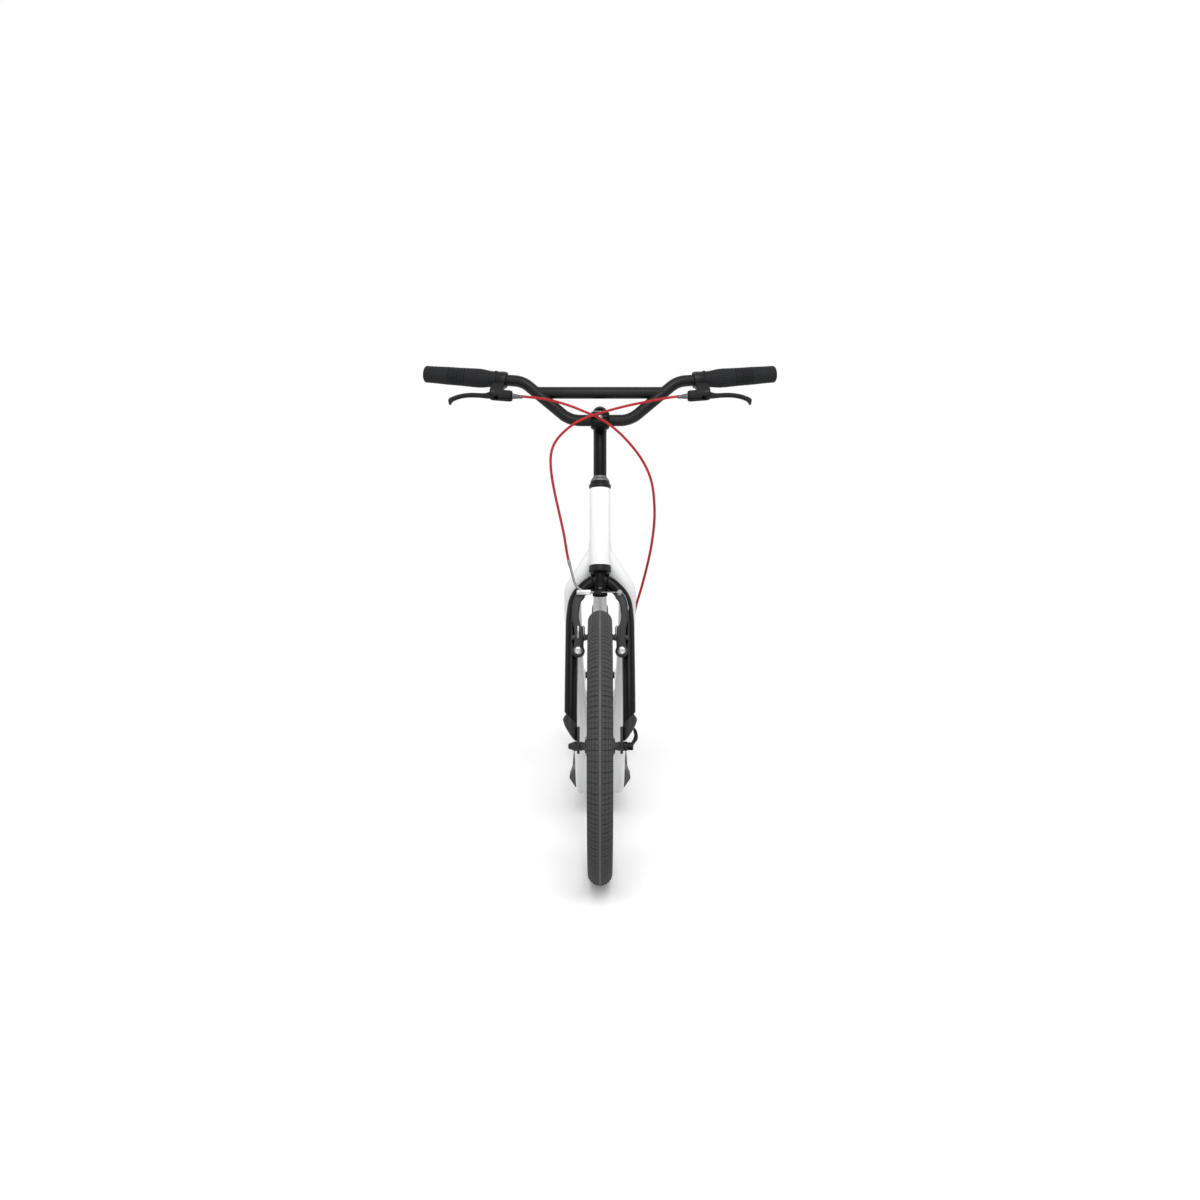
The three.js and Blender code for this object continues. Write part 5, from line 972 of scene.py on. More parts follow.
def quarter_of_spokes(wheel):
    """Four spokes, which a ring of copies repeats, and their nipples."""
    wires, nipples = Shape([], []), Shape([], [])
    for i in range(4):
        head, elbow, rim_end = spoke_line(wheel, i)
        lead = (rim_end - elbow).normalized()
        path = rounded_path([head, elbow, rim_end - lead * SPOKE.in_nipple], SPOKE.bend, 4)
        wires += sweep(path, circle(SPOKE.radius, SPOKE.sides))
        wires += lathe(SPOKE_HEAD, 10).moved(onto(head, head - elbow))
        profile = ((0, 0), (NIPPLE.head, 0), (NIPPLE.head, NIPPLE.head_tall), (NIPPLE.radius, NIPPLE.neck),
                   (NIPPLE.radius - 0.2, NIPPLE.long - 1), (NIPPLE.mouth, NIPPLE.long), (0, NIPPLE.long))
        nipples += lathe(profile, NIPPLE.sides).moved(onto(rim_end, -lead))
    return wires, nipples


def valve_and_cap(wheel):
    """The valve that points in from the rim, and its cap."""
    stem = [(0, 0), (VALVE.radius, 0),
            *thread(VALVE.radius, VALVE.radius - VALVE.thread_deep, VALVE.thread_from, 1, VALVE.turns),
            (VALVE.radius - 0.4, VALVE.reach - 1), (0, VALVE.reach - 1)]
    valve = lathe(stem, 20) + hex_nut(VALVE.nut, RIM.bed + VALVE.nut_foot, RIM.bed + VALVE.nut_head)
    low, end = VALVE.reach - VALVE.cap_long, VALVE.reach

    def cap_radius(z, angle):
        chamfer = VALVE.cap_chamfer if z in (low, end) else 0
        return VALVE.cap_radius - chamfer - VALVE.cap_flute * max(0, math.cos(VALVE.cap_flutes * angle))

    cap = fluted([low, low + 0.6, *(low + 1 + k for k in range(9)), end - 0.4, end], cap_radius, 48)
    down = Matrix.Translation((0, 0, wheel.seat)) @ Matrix.Rotation(math.pi, 4, "X")
    return valve.moved(down), cap.moved(down)


def hub_shell(wheel):
    out, end = wheel.flange_out, wheel.hub_end
    flange_face = out + HUB.flange_wide
    side = [
        (HUB.bore, end), (HUB.cap, end), (HUB.cap, flange_face), (HUB.flange, flange_face), (HUB.flange, out),
        (HUB.barrel + 1, out - HUB.foot / 2), (HUB.barrel, out - HUB.foot), (HUB.barrel, HUB.band_half + 1),
        (HUB.barrel - HUB.band_deep, HUB.band_half),
    ]
    return turned([(r, -x) for r, x in side] + side[::-1], 0.7, 64, closed=True)


def add_wheel(wheel, place, hub_finish):
    def turning(name, shape, finish, node, copies=None):
        """A piece that turns with this wheel."""
        make_piece(f"{wheel.name}_{name}", shape, place, finish, f"{wheel.name}_wheel",
                   f"{wheel.name}_{node}", copies)

    def ring_of(count):
        return (count, (2 * math.pi / count, 0, 0), (0, 0, 0))

    tyre = lathe(tyre_profile(wheel), WHEEL_SIDES, closed=True)
    turning("rubber_tyre", along_x(tyre), WALL_RUBBER, "tyre")
    count = round(2 * math.pi * wheel.radius / TYRE.block_pitch)
    turning("tread_blocks", tread_segment(wheel, count), TREAD_RUBBER, "tyre", ring_of(count))
    turning("tread_rib", along_x(tread_rib(wheel)), PALE_RIB_RUBBER, "tyre")
    rim = turned(rim_profile(wheel), 0.35, WHEEL_SIDES, closed=True)
    turning("alloy_rim", along_x(rim), RIM_ALLOY, "rim")
    half = wheel.tyre_width / 2
    chamber = [(wheel.radius - half + x, z) for x, z in circle(half - TYRE.wall - TYRE.tube_play, 20)]
    turning("butyl_tube", along_x(lathe(chamber, 64, closed=True)), BUTYL, "inner_tube")
    valve, cap = valve_and_cap(wheel)
    turning("valve_stem", valve, BRASS, "inner_tube")
    turning("valve_cap", cap, BLACK_PLASTIC, "inner_tube")
    turning("hub_shell", along_x(hub_shell(wheel)), hub_finish, "hub_and_spokes")
    wires, nipples = quarter_of_spokes(wheel)
    ring = ring_of(wheel.spokes // 4)
    turning("spokes", wires, SPOKE_WIRE, "hub_and_spokes", ring)
    turning("nipples", nipples, BRASS, "hub_and_spokes", ring)


add_wheel(FRONT, FRONT_HUB, FRONT_HUB_ALLOY)
add_wheel(REAR, REAR_HUB, REAR_HUB_ALLOY)

# Axles and the quick release


def axle_half(hub_end, inner, reach):
    """Half of an axle's outline: cone, spacer and shaft."""
    locknut_end = inner - GAP
    spacer_end = locknut_end - AXLE.locknut_wide
    return [
        (AXLE.radius, hub_end - AXLE.cone_long), (AXLE.cone, hub_end - AXLE.cone_long / 2),
        (AXLE.cone, hub_end + GAP), (AXLE.spacer, hub_end + GAP), (AXLE.spacer, spacer_end),
        (AXLE.radius, spacer_end), (AXLE.radius, reach),
    ]


def axle_shape(hub_end, inner, reach):
    half = axle_half(hub_end, inner, reach)
    shaft = turned([(0, -reach)] + [(r, -x) for r, x in reversed(half)] + half + [(0, reach)], 0.3, 40)
    nut = hex_nut(AXLE.locknut - 0.9, inner - GAP - AXLE.locknut_wide, inner - GAP)
    return along_x(shaft + nut) + along_x(nut).moved(MIRROR)


def release_lever():
    """The quick release lever, from the pin across the head to its rounded tip, along +Z."""
    pin = DROPOUT.inner + DROPOUT.thick + GAP + SKEWER.housing_long + 2 * GAP + RELEASE.boss
    line = [(pin + RELEASE.long * a, 0, RELEASE.long * b) for a, b in RELEASE_SHARES]
    path = smooth(line, 1.6)
    section = soften([(1, 1), (-1, 1), (-1, -1), (1, -1)], 0.6, 4)
    tip, scales = 1 - RELEASE.tip_share, []
    for i in range(len(path)):
        t = i / (len(path) - 1)
        fade = 1 if t < tip else math.sqrt(max(0.05, 1 - ((t - tip) / RELEASE.tip_share) ** 2))
        deep, wide = blend_between(RELEASE_HALF_DEPTHS, t), blend_between(RELEASE_HALF_WIDTHS, t)
        scales.append((deep * fade, wide * fade))
    blade = sweep(path, section, (1, 0, 0), scales)
    boss = rod((pin, -RELEASE.wide / 2, 0), (pin, RELEASE.wide / 2, 0), RELEASE.boss, 32, 0.8)
    return blade + boss


def skewer_nut_radius(z, angle):
    """A cone that narrows outwards, with flutes for the fingers."""
    wide, narrow = SKEWER.nut_inner, SKEWER.nut_outer
    radius = blend_between(((0, wide - 0.5), (0.8, wide), (3, wide - 0.3), (12, narrow + 1.4), (15.4, narrow),
                            (16, narrow - 1)), z)
    return radius - (0.35 * max(0, math.cos(SKEWER.nut_flutes * angle)) if 2 < z < 14 else 0)


def add_quick_release():
    reach = DROPOUT.inner + DROPOUT.thick - GAP
    make_piece("front_hub_axle", axle_shape(FRONT.hub_end, DROPOUT.inner, reach), FRONT_AXLE, BLACKED_STEEL,
               "fork", "front_axle")
    seat = DROPOUT.inner + DROPOUT.thick + GAP
    housing_end = seat + SKEWER.housing_long
    head_end = housing_end + SKEWER.head_long
    heights = [0, 0.6, *(1.2 + 0.8 * k for k in range(18)), SKEWER.nut_long - 0.4, SKEWER.nut_long]
    nut = along_x(fluted(heights, skewer_nut_radius, 72)).shifted(x=seat).moved(MIRROR)
    housing = turned(((0, seat), (SKEWER.housing, seat), (SKEWER.housing, housing_end - 1.5),
                      (SKEWER.housing - 0.8, housing_end), (0, housing_end)), 0.7)
    head = turned(((0, housing_end), (SKEWER.head, housing_end), (SKEWER.head, head_end), (0, head_end)), 1.4)
    slot = RELEASE.wide / 2 + GAP
    head = along_x(head).cut(block((housing_end + GAP, head_end + 6), (-slot, slot), (-head_end, head_end)))
    pin, far = housing_end + 2 * GAP + RELEASE.boss, SKEWER.head - SKEWER.bolt_sunk
    head += rod((pin, -far, 0), (pin, far, 0), RELEASE.pin, 20)
    lean = FRONT_AXLE @ Matrix.Rotation(-math.radians(RELEASE.lean_deg), 4, "X")
    for name, shape, finish, body, node in (
        ("nut", nut, CAST_ALLOY, "fork", "quick_release_skewer"),
        ("head", along_x(housing) + head, BLACK_ALLOY, "fork", "quick_release_skewer"),
        ("handle", release_lever(), BLACK_ALLOY, "release_lever", "quick_release_lever"),
    ):
        make_piece(f"quick_release_{name}", shape, lean, finish, body, node)


def add_rear_axle():
    outer = STAY.inner + STAY.thick
    reach = outer + REAR_NUT.long + REAR_NUT.stud
    axle = axle_shape(REAR.hub_end, STAY.inner, reach - 0.2)
    root, crest = AXLE.radius - AXLE.thread_root, AXLE.radius + AXLE.thread_crest
    turns = int((reach - outer) / AXLE.thread_pitch)
    stud = lathe([(0, outer), *thread(root, crest, outer, AXLE.thread_pitch, turns), (0, reach)], 32)
    make_piece("rear_hub_axle", axle + pair(along_x(stud)), REAR_HUB, BLACKED_STEEL, "frame", "rear_axle")
    nut = hex_nut(REAR_NUT.radius * 0.88, outer + 1.2, outer + REAR_NUT.long)
    collar = turned(((0, outer + GAP), (REAR_NUT.radius, outer + GAP), (REAR_NUT.radius, outer + 1.8),
                     (0, outer + 1.8)), 0.4)
    make_pair("axle_nut", along_x(nut + collar), REAR_HUB, BLACKED_STEEL, "frame", "rear_axle_nut_{}")


add_quick_release()
add_rear_axle()

# Fork


def fork_tip():
    """The cast tip that carries the dropout, lofted down from the blade's sloping end."""
    outer, height = FORK_TIP.outer, FORK_TIP.joint_outer
    edge = smooth([(outer * a, 0, height * b) for a, b in (*TIP_OUTLINE_SHARES, TIP_FOOT_SHARES)], 2.4)
    start, drop = FORK_TIP.joint_inner, height * TIP_FOOT_SHARES[1] - FORK_TIP.joint_inner
    rings = []
    for k, out in enumerate(edge):
        t = k / (len(edge) - 1)
        inner = Vector((FORK_TIP.inner, 0, start + drop * t))
        ring = []
        for j in range(32):
            angle = 2 * math.pi * j / 32
            share = (1 - math.cos(angle)) / 2
            here = inner.lerp(out, share)
            across = (here.x - FORK_TIP.centre) / FORK_TIP.half_wide
            deep = FORK_TIP.half_deep * math.sqrt(max(0.03, 1 - across * across))
            close = (1 - abs(2 * share - 1) ** 10) ** 0.5
            here.y = -FORK.forward
            if j not in (0, 16):
                here.y += math.copysign(deep * close, math.sin(angle))
            ring.append(tuple(here))
        rings.append(ring)
    return loft(rings)


def dropout():
    """The slotted plate, cut in from below for the axle."""
    slot = [(-RAKE - DROPOUT.slot * math.cos(math.pi * k / 12), DROPOUT.slot * math.sin(math.pi * k / 12))
            for k in range(13)]
    low, head = -DROPOUT.foot_drop, DROPOUT.head_half
    outline = [
        (-RAKE - DROPOUT.foot_half, low), (-RAKE - DROPOUT.slot, low), *slot, (-RAKE + DROPOUT.slot, low),
        (-RAKE + DROPOUT.foot_half, low), (-RAKE + head, 0), (-FORK.forward + head, DROPOUT.head_height),
        (-FORK.forward - head, DROPOUT.head_height), (-RAKE - head, 0),
    ]
    plate = prism(outline, DROPOUT.inner, DROPOUT.inner + DROPOUT.thick).moved(SIDEWAYS)
    return plate.rounded(0.7)


def brake_stud(wheel, brake, path):
    """A brake's stud, welded to the tube that runs behind it along the path, and the bolt in its end."""
    local = [brake.inverted() @ Vector(p) for p in path]
    root = min(local, key=lambda p: abs(p.y - wheel.stud)).z
    neck = rod((0, 0, root), (0, 0, BRAKE.boss_back - GAP), BRAKE.root, 32, 0.8)
    neck += bead(BRAKE.root + 0.3, 1.4).shifted(z=(root + BRAKE.boss_back) / 2 - 2)
    bolt = cap_screw(BRAKE.bolt, BRAKE.bolt_tall, 2.5, dome=1.8)
    bolt += rod((0, 0, -16), (0, 0, 0.5), BRAKE.stud, 24)
    return (neck.shifted(BRAKE.spread, wheel.stud),
            bolt.shifted(BRAKE.spread, wheel.stud, BRAKE.boss_front + GAP))


def blade_path():
    line = [(FORK.spread * a, -FORK.forward * b, FORK.crown * c) for a, b, c in BLADE_PATH_SHARES]
    return smooth(line, 5)


def add_fork():
    race_top = HEADSET.race_foot + HEADSET.race_tall
    profile = [
        (STEERER.bore, FORK.post_foot), (FORK.post, FORK.post_foot), (FORK.post, HEADSET.race_foot),
        (HEADSET.race, HEADSET.race_foot), (FORK.post, race_top), (FORK.post, STEERER.head),
        (STEERER.bore, STEERER.head),
    ]
    bore = rod((0, -30, FORK.bore_height), (0, 30, FORK.bore_height), FORK.bore, 32)
    post = turned(profile, 0.8, 56, closed=True).cut(bore)
    on_bars("crown_post_and_steerer", post, BLACK_COAT, "fork_steerer")
    blade = tube(blade_path(), FORK.blade, 36)
    # The blade ends in a sloping cut, which the tip starts from.
    slope = math.atan2(FORK_TIP.joint_outer - FORK_TIP.joint_inner, FORK_TIP.outer - FORK_TIP.inner)
    form = blade.as_bmesh()
    cut = bmesh.ops.bisect_plane(
        form, geom=form.verts[:] + form.edges[:] + form.faces[:], clear_inner=True,
        plane_co=(FORK_TIP.inner, 0, FORK_TIP.joint_inner), plane_no=(-math.sin(slope), 0, math.cos(slope)),
    )
    bmesh.ops.contextual_create(form, geom=[e for e in cut["geom_cut"] if isinstance(e, bmesh.types.BMEdge)])
    blade = from_bmesh(form)
    web = block((4, FORK.web_reach), (-FORK.web_half, FORK.web_half), (FORK.web_foot, FORK.web_head))
    neck, bolt = brake_stud(FRONT, FRONT_AXLE.inverted() @ FRONT_BRAKE,
                            [p + Vector((0, RAKE, 0)) for p in blade_path()])
    neck = neck.moved(STEERING.inverted() @ FRONT_BRAKE)
    weld = bead(FORK.blade + 0.6, 1.5).moved(onto((15, 0, 318.5), (1, 0, -0.18)))
    leg = blade + web.rounded(1.2) + neck + weld
    make_pair("fork_leg", leg, STEERING, BLACK_COAT, "fork", "fork_blade_{}")
    make_pair("front_brake_bolt", bolt, FRONT_BRAKE, ZINC, "fork", "fork_blade_{}")
    make_pair("cast_fork_tip", fork_tip() + dropout(), STEERING, CAST_ALLOY, "fork", "fork_tip_{}")


add_fork()

# Headset


def add_headset():
    foot, head = HEAD_TUBE.foot, HEAD_TUBE.head
    inner, outer = HEAD_TUBE.bore, HEAD_TUBE.radius
    wall = turned([(inner, foot), (outer, foot), (outer, head), (inner, head)], 0.6, 72, closed=True)
    make_piece("white_head_tube", wall, STEERING, WHITE_COAT, "frame", "head_tube")
    skirt = HEAD_TUBE.bore - GAP

    def cup(tall):
        return turned([
            (HEADSET.bore + 1, 0), (HEADSET.lip - 1.2, 0), (HEADSET.lip, 1.4), (HEADSET.lip, tall - 2.4),
            (HEADSET.lip - 0.7, tall - 1.8), (HEADSET.lip - 0.7, tall), (skirt, tall),
            (skirt, tall + HEADSET.skirt), (HEADSET.bore, tall + HEADSET.skirt), (HEADSET.bore, 6),
        ], 0.5, 64, closed=True)

    lower = foot - GAP - HEADSET.lower
    upper = head + GAP + HEADSET.upper
    down = Matrix.Translation((0, 0, upper)) @ Matrix.Rotation(math.pi, 4, "X")
    cups = (("lower", cup(HEADSET.lower).shifted(z=lower)), ("upper", cup(HEADSET.upper).moved(down)))
    for name, shape in cups:
        make_piece(f"{name}_cup", shape, STEERING, BLACK_ALLOY, "frame", f"{name}_headset_cup")
    cone_top = upper + GAP + HEADSET.cone_tall
    nut_top = cone_top + HEADSET.nut_tall
    cap_top = nut_top + HEADSET.cap_tall
    bore = FORK.post + GAP
    throat = STEM.quill + GAP
    cone = turned([(bore, upper + GAP), (HEADSET.cone - 0.6, upper + GAP), (HEADSET.cone, upper + 2),
                   (HEADSET.cone - 1.6, cone_top), (bore, cone_top)], 0.5, 64, closed=True)
    nut = turned([(bore, cone_top), (HEADSET.nut + 2.6, cone_top), (HEADSET.nut + 2, cone_top + 2.6),
                  (HEADSET.cap + 1.6, nut_top + 1), (throat, nut_top + 1)], 0.5, 64, closed=True)
    cap = turned([(throat, nut_top + 1), (HEADSET.cap + 0.8, nut_top + 1), (HEADSET.cap, cap_top - 1),
                  (HEADSET.cap - 0.6, cap_top), (throat, cap_top)], 0.4, 48, closed=True)
    on_bars("headset_cone", cone, BLACK_ALLOY, "headset_locknut")
    on_bars("headset_nut_and_cap", nut + cap, NUT_STEEL, "headset_locknut")


add_headset()

# Stem and handlebar

BAR_CORNERS = [
    Vector((0, -STEM.reach, STEM.bar)),
    Vector((BAR.centre_half, -STEM.reach, STEM.bar)),
    Vector((BAR.rise_out, -STEM.reach + BAR.rise_back, STEM.bar + BAR.rise_up)),
    Vector((BAR.end_out, -STEM.reach + BAR.end_back, STEM.bar + BAR.end_up)),
]
BAR_END = BAR_CORNERS[3]
INWARD = (BAR_CORNERS[2] - BAR_END).normalized()


def on_bar(distance):
    return onto(BAR_END + INWARD * distance, INWARD)


def hand_frame():
    """The left brake lever's frame: out along the bar, ahead towards the blade, and across."""
    out = -INWARD
    droop = math.radians(LEVER.droop_deg) + TILT
    ahead = Vector((0, -math.cos(droop), -math.sin(droop)))
    ahead = (ahead - out * ahead.dot(out)).normalized()
    across = out.cross(ahead)
    matrix = Matrix((out, ahead, across)).transposed().to_4x4()
    matrix.translation = BAR_END + INWARD * (GRIP.long + LEVER.clamp_half)
    return matrix


def stem_shape():
    """The quill with its domed top, and the clamp that a slot splits in front."""
    quill = turned([
        (0, STEM.foot - 8), (STEM.quill, STEM.foot - 8), (STEM.quill, STEM.centre - STEM.head - 4),
        (STEM.head, STEM.centre - STEM.head / 2), (STEM.head, STEM.shoulder),
        (STEM.head - 1.4, STEM.top - 3.5), (STEM.crown + 4, STEM.top), (0, STEM.top),
    ], 3, 56)
    half = STEM.clamp_half
    clamp = turned([(BAR.radius, -half), (STEM.clamp - 3, -half), (STEM.clamp, 4 - half),
                    (STEM.clamp, half - 4), (STEM.clamp - 3, half), (BAR.radius, half)], 2.6, 64, closed=True)
    clamp = along_x(clamp).shifted(y=-STEM.reach, z=STEM.bar)
    wide, tall = STEM.neck_half_wide, STEM.neck_half_tall
    neck = block((-wide, wide), (-STEM.reach - 4, 0), (STEM.bar - tall, STEM.bar + tall)).rounded(4.5, 4)
    split = block((-half - 2, half + 2), (-STEM.reach - 20, -STEM.reach - 8), (STEM.bar - 1, STEM.bar + 1))
    return quill + neck + clamp.cut(split)


def add_stem():
    on_bars("quill_stem", stem_shape(), BLACK_COAT, "stem")
    face = onto((0, -STEM.reach - STEM.clamp + 0.4, STEM.bar), (0, -1, 0))
    washer = turned([(0, -0.2), (6.4, -0.2), (6.4, 1), (0, 1)], 0.3)
    on_bars("stem_bolt_washer", washer.moved(face), BLACKED_STEEL, "stem_clamp_bolt")
    on_bars("stem_bolt", cap_screw(3.9, 5.4, 2.2, 1.2).shifted(z=0.6).moved(face), ZINC, "stem_clamp_bolt")
    head = lathe(soften([(0, 0), (STEM.crown + 3.6, 0), (STEM.crown + 1.6, 2.6), (EXPANDER.head, 5.4),
                         (0, EXPANDER.head_tall - 1)], 1.6, 3, closed=False), 48)
    wedge = rod((0, 0, EXPANDER.wedge_foot), (0, 0, STEM.foot - 12), STEM.quill, 40)
    on_bars("expander_cap", head.shifted(z=STEM.top + GAP) + wedge, BLACKED_STEEL, "expander_bolt_and_wedge")
    bolt = cap_screw(3.8, 2.4, EXPANDER.socket / 2, 0.8, 1.6).shifted(z=STEM.top + EXPANDER.head_tall - 2)
    on_bars("expander_bolt", bolt, ZINC, "expander_bolt_and_wedge")


def grip_radius(z, angle):
    """The grip's radius by the distance from its outer end: a belly for the palm, ribs and a fluted band."""
    radius = blend_between(((GRIP.end, GRIP.waist - 3.2), (-2.2, GRIP.waist - 0.9), (-0.3, GRIP.flange - 0.7),
                            (1.6, GRIP.flange - 0.2), (12, GRIP.waist + 1.3), (56, GRIP.belly - 0.8),
                            (108, GRIP.belly), (134, GRIP.waist + 0.6), (138.4, GRIP.waist + 0.4),
                            (139.4, GRIP.ring), (143.4, GRIP.ring), (GRIP.long, GRIP.ring - 0.8)), z)
    ribs, flutes, grooves = (47, 84), (94, 128), ((14, 16), (88, 90), (130.5, 132))
    if ribs[0] < z < ribs[1]:
        radius -= GRIP.rib_deep * max(0, math.sin(2 * math.pi * (z - ribs[0]) / GRIP.rib_pitch)) ** 0.6
    if flutes[0] < z < flutes[1]:
        radius -= GRIP.flute * max(0, math.cos(GRIP.flutes * angle)) ** 2
    if any(start < z < end for start, end in grooves):
        radius -= GRIP.groove_deep
    return radius


def add_handlebar():
    half = rounded_path(BAR_CORNERS, BAR.bend, 12)
    other = [Vector((-p.x, p.y, p.z)) for p in reversed(half[1:])]
    bar = tube(other + half, BAR.radius, 36)
    end = BAR_CORNERS[1].lerp(BAR_CORNERS[2], BAR.brace_up / BAR.rise_up)
    # The ends of the brace are mitred into the rising part of the bar.
    brace = rod((-end.x, end.y, end.z), end, BAR.brace, 40)
    on_bars("braced_handlebar", bar + brace, BLACK_ALLOY, "handlebar")
    heights = [GRIP.end + 0.75 * k for k in range(197)]
    grip = fluted([z for z in heights if z < GRIP.long] + [GRIP.long], grip_radius, 96).moved(on_bar(-GAP))
    make_pair("ribbed_grip", grip, STEERING, GRIP_RUBBER, "fork", "grip_{}")


def lever_bracket():
    """The ring round the bar, and the body with the lever's mouth and a slot for the cable."""
    sides = LEVER.ring_half
    ring = turned([(BAR.radius + 0.2, -sides), (LEVER.clamp, -sides), (LEVER.clamp, sides),
                   (BAR.radius + 0.2, sides)], 1.2, 56, closed=True)
    near, far = LEVER.ahead - LEVER.half_deep, LEVER.ahead + LEVER.half_deep
    arm = block((-LEVER.arm_inner, LEVER.arm_outer), (BAR.radius + 2, near + 2),
                (-LEVER.arm_half_tall, LEVER.arm_half_tall)).rounded(2.5, 3)
    face = soften([(-LEVER.inner, near + 2), (-LEVER.inner + 5, near), (LEVER.outer, near),
                   (LEVER.outer, far - 3), (LEVER.outer - 5, far), (-LEVER.inner + 5, far),
                   (-LEVER.inner, far - 2)], 3, 4)
    body = prism(face, -LEVER.half_tall, LEVER.half_tall)
    mouth = block((LEVER.mouth, LEVER.outer + 6), (near - 6, far + 6), (-LEVER.cheek / 2, LEVER.cheek / 2))
    slot = block((-LEVER.inner - 1, LEVER.mouth), (LEVER.ahead - 1, far + 4),
                 (-LEVER.cable_slot_half, LEVER.cable_slot_half))
    body = body.cut(mouth, slot).rounded(1.1, 2)
    lug = block((-LEVER.lug_half_wide, LEVER.lug_half_wide), (-LEVER.clamp - 3.5, -BAR.radius - 1.5),
                (-LEVER.lug_half_tall, LEVER.lug_half_tall)).rounded(1.5)
    return along_x(ring) + arm + body + lug


def lever_screws():
    """The pivot screw through the cheeks and the screw of the clamp."""
    pivot = Matrix.Translation((LEVER.pivot_out, LEVER.pivot_ahead, 0))
    pin = rod((0, 0, -LEVER.half_tall + 0.5), (0, 0, LEVER.half_tall - 0.5), LEVER.pin, 24)
    head = cap_screw(4.2, 1.8, 1.9, 0.5, 1.4).shifted(z=LEVER.half_tall - 1)
    foot = hex_nut(3.6, LEVER.half_tall - 1, LEVER.half_tall + 0.4).moved(Matrix.Rotation(math.pi, 4, "X"))
    clamp = cap_screw(3.6, 3.4, 1.9, 0.6, 2).shifted(z=5.5).shifted(0, -LEVER.clamp + 0.8, 0)
    return (pin + head + foot).moved(pivot) + clamp


def lever_blade():
    """A two-finger blade that bows towards the grip and hooks away at its end."""
    out, ahead = LEVER.pivot_out, LEVER.pivot_ahead
    outline = [(out + LEVER.blade * a, ahead + LEVER.blade * b) for a, b in BLADE_OUTLINE_SHARES]
    blade = prism(soften(outline, 4, 4), -LEVER.tall / 2, LEVER.tall / 2).rounded(1.9, 3)
    return blade.moved(turned_about((out, ahead, 0), math.radians(LEVER.open_deg)))


def adjuster():
    """A knurled barrel on a threaded stud, with the housing's ferrule in its end."""
    seat = LEVER.inner + GAP

    def knob_radius(z, angle):
        chamfer = 0.5 if z in (0, ADJUSTER.head_long) else 0
        flute = ADJUSTER.flute * max(0, math.cos(ADJUSTER.flutes * angle)) if 1 < z < 9 else 0
        return ADJUSTER.radius - ADJUSTER.taper * z / ADJUSTER.head_long - chamfer - flute

    knob = fluted([0, 0.5, *(1 + 0.75 * k for k in range(12)), ADJUSTER.head_long], knob_radius, 80)
    threads = [(0, ADJUSTER.stud_from),
               *thread(ADJUSTER.neck - 0.3, ADJUSTER.neck + 0.1, ADJUSTER.stud_from, ADJUSTER.thread_pitch,
                       ADJUSTER.turns), (0, 0.4)]
    ferrule = turned(((0, ADJUSTER.head_long - 1), (ADJUSTER.neck, ADJUSTER.head_long - 1),
                      (ADJUSTER.neck, ADJUSTER.long), (0, ADJUSTER.long)), 0.5, 32)
    whole = knob + lathe(threads, 24) + ferrule
    return whole.moved(Matrix.Rotation(-QUARTER, 4, "Y")).shifted(-seat, LEVER.ahead, 0)


def add_controls():
    hand = hand_frame()
    for name, shape, finish, body, node in (
        ("lever_bracket", lever_bracket(), BLACK_ALLOY, "fork", "brake_lever_bracket_{}"),
        ("lever_screws", lever_screws(), BLACKED_STEEL, "fork", "brake_lever_bracket_{}"),
        ("lever_blade", lever_blade(), BLACK_ALLOY, "{}_lever", "brake_lever_{}"),
        ("cable_adjuster", adjuster(), GREY_ALLOY, "fork", "barrel_adjuster_{}"),
    ):
        make_pair(name, shape.moved(hand), STEERING, finish, body, node)


add_stem()
add_handlebar()
add_controls()

# Rim brakes: X is across, Y out along the arms, and Z away from the studs. The curved guide's arm is
# at -X and the anchor's arm at +X.


def brake_arm(wheel):
    """The curved arm, and the boss that turns on the stud, with a ring cast round it."""
    outline = [(BRAKE.spread + BRAKE.arm * a, wheel.stud + BRAKE.arm * b) for a, b in ARM_OUTLINE_SHARES]
    arm = prism(soften(outline, 5, 4), BRAKE.back, BRAKE.front).rounded(1.5, 3)
    boss = turned([(BRAKE.stud + GAP, BRAKE.boss_back), (BRAKE.boss, BRAKE.boss_back),
                   (BRAKE.boss, BRAKE.boss_front - 1), (BRAKE.boss - 1.4, BRAKE.boss_front),
                   (BRAKE.stud + GAP, BRAKE.boss_front)], 0.8, 48, closed=True)
    ring = bead(BRAKE.boss, 0.7, 48).shifted(z=-1.5)
    return arm + (boss + ring).shifted(BRAKE.spread, wheel.stud)


def return_spring(wheel):
    """The wire behind the arm that opens it."""
    line = ((2, 11.6, -6.4), (-7, 14, -6.6), (-10.8, 30, -6.2), (-10.6, 47, -4.8), (-8, 49, -4.6))
    wire = smooth([(BRAKE.spread + x, wheel.stud + y, z) for x, y, z in line], 2)
    return sweep(wire, circle(BRAKE.spring_wire, 10))


def spring_leaf(wheel):
    """The flat leaf that stands up in front of the guide's arm."""
    foot = wheel.stud + 24
    return block((BRAKE.spread - 1.5, BRAKE.spread + 2.5), (foot, foot + BRAKE.leaf_tall),
                 (BRAKE.front - 0.4, BRAKE.front + 0.9)).rounded(0.4)


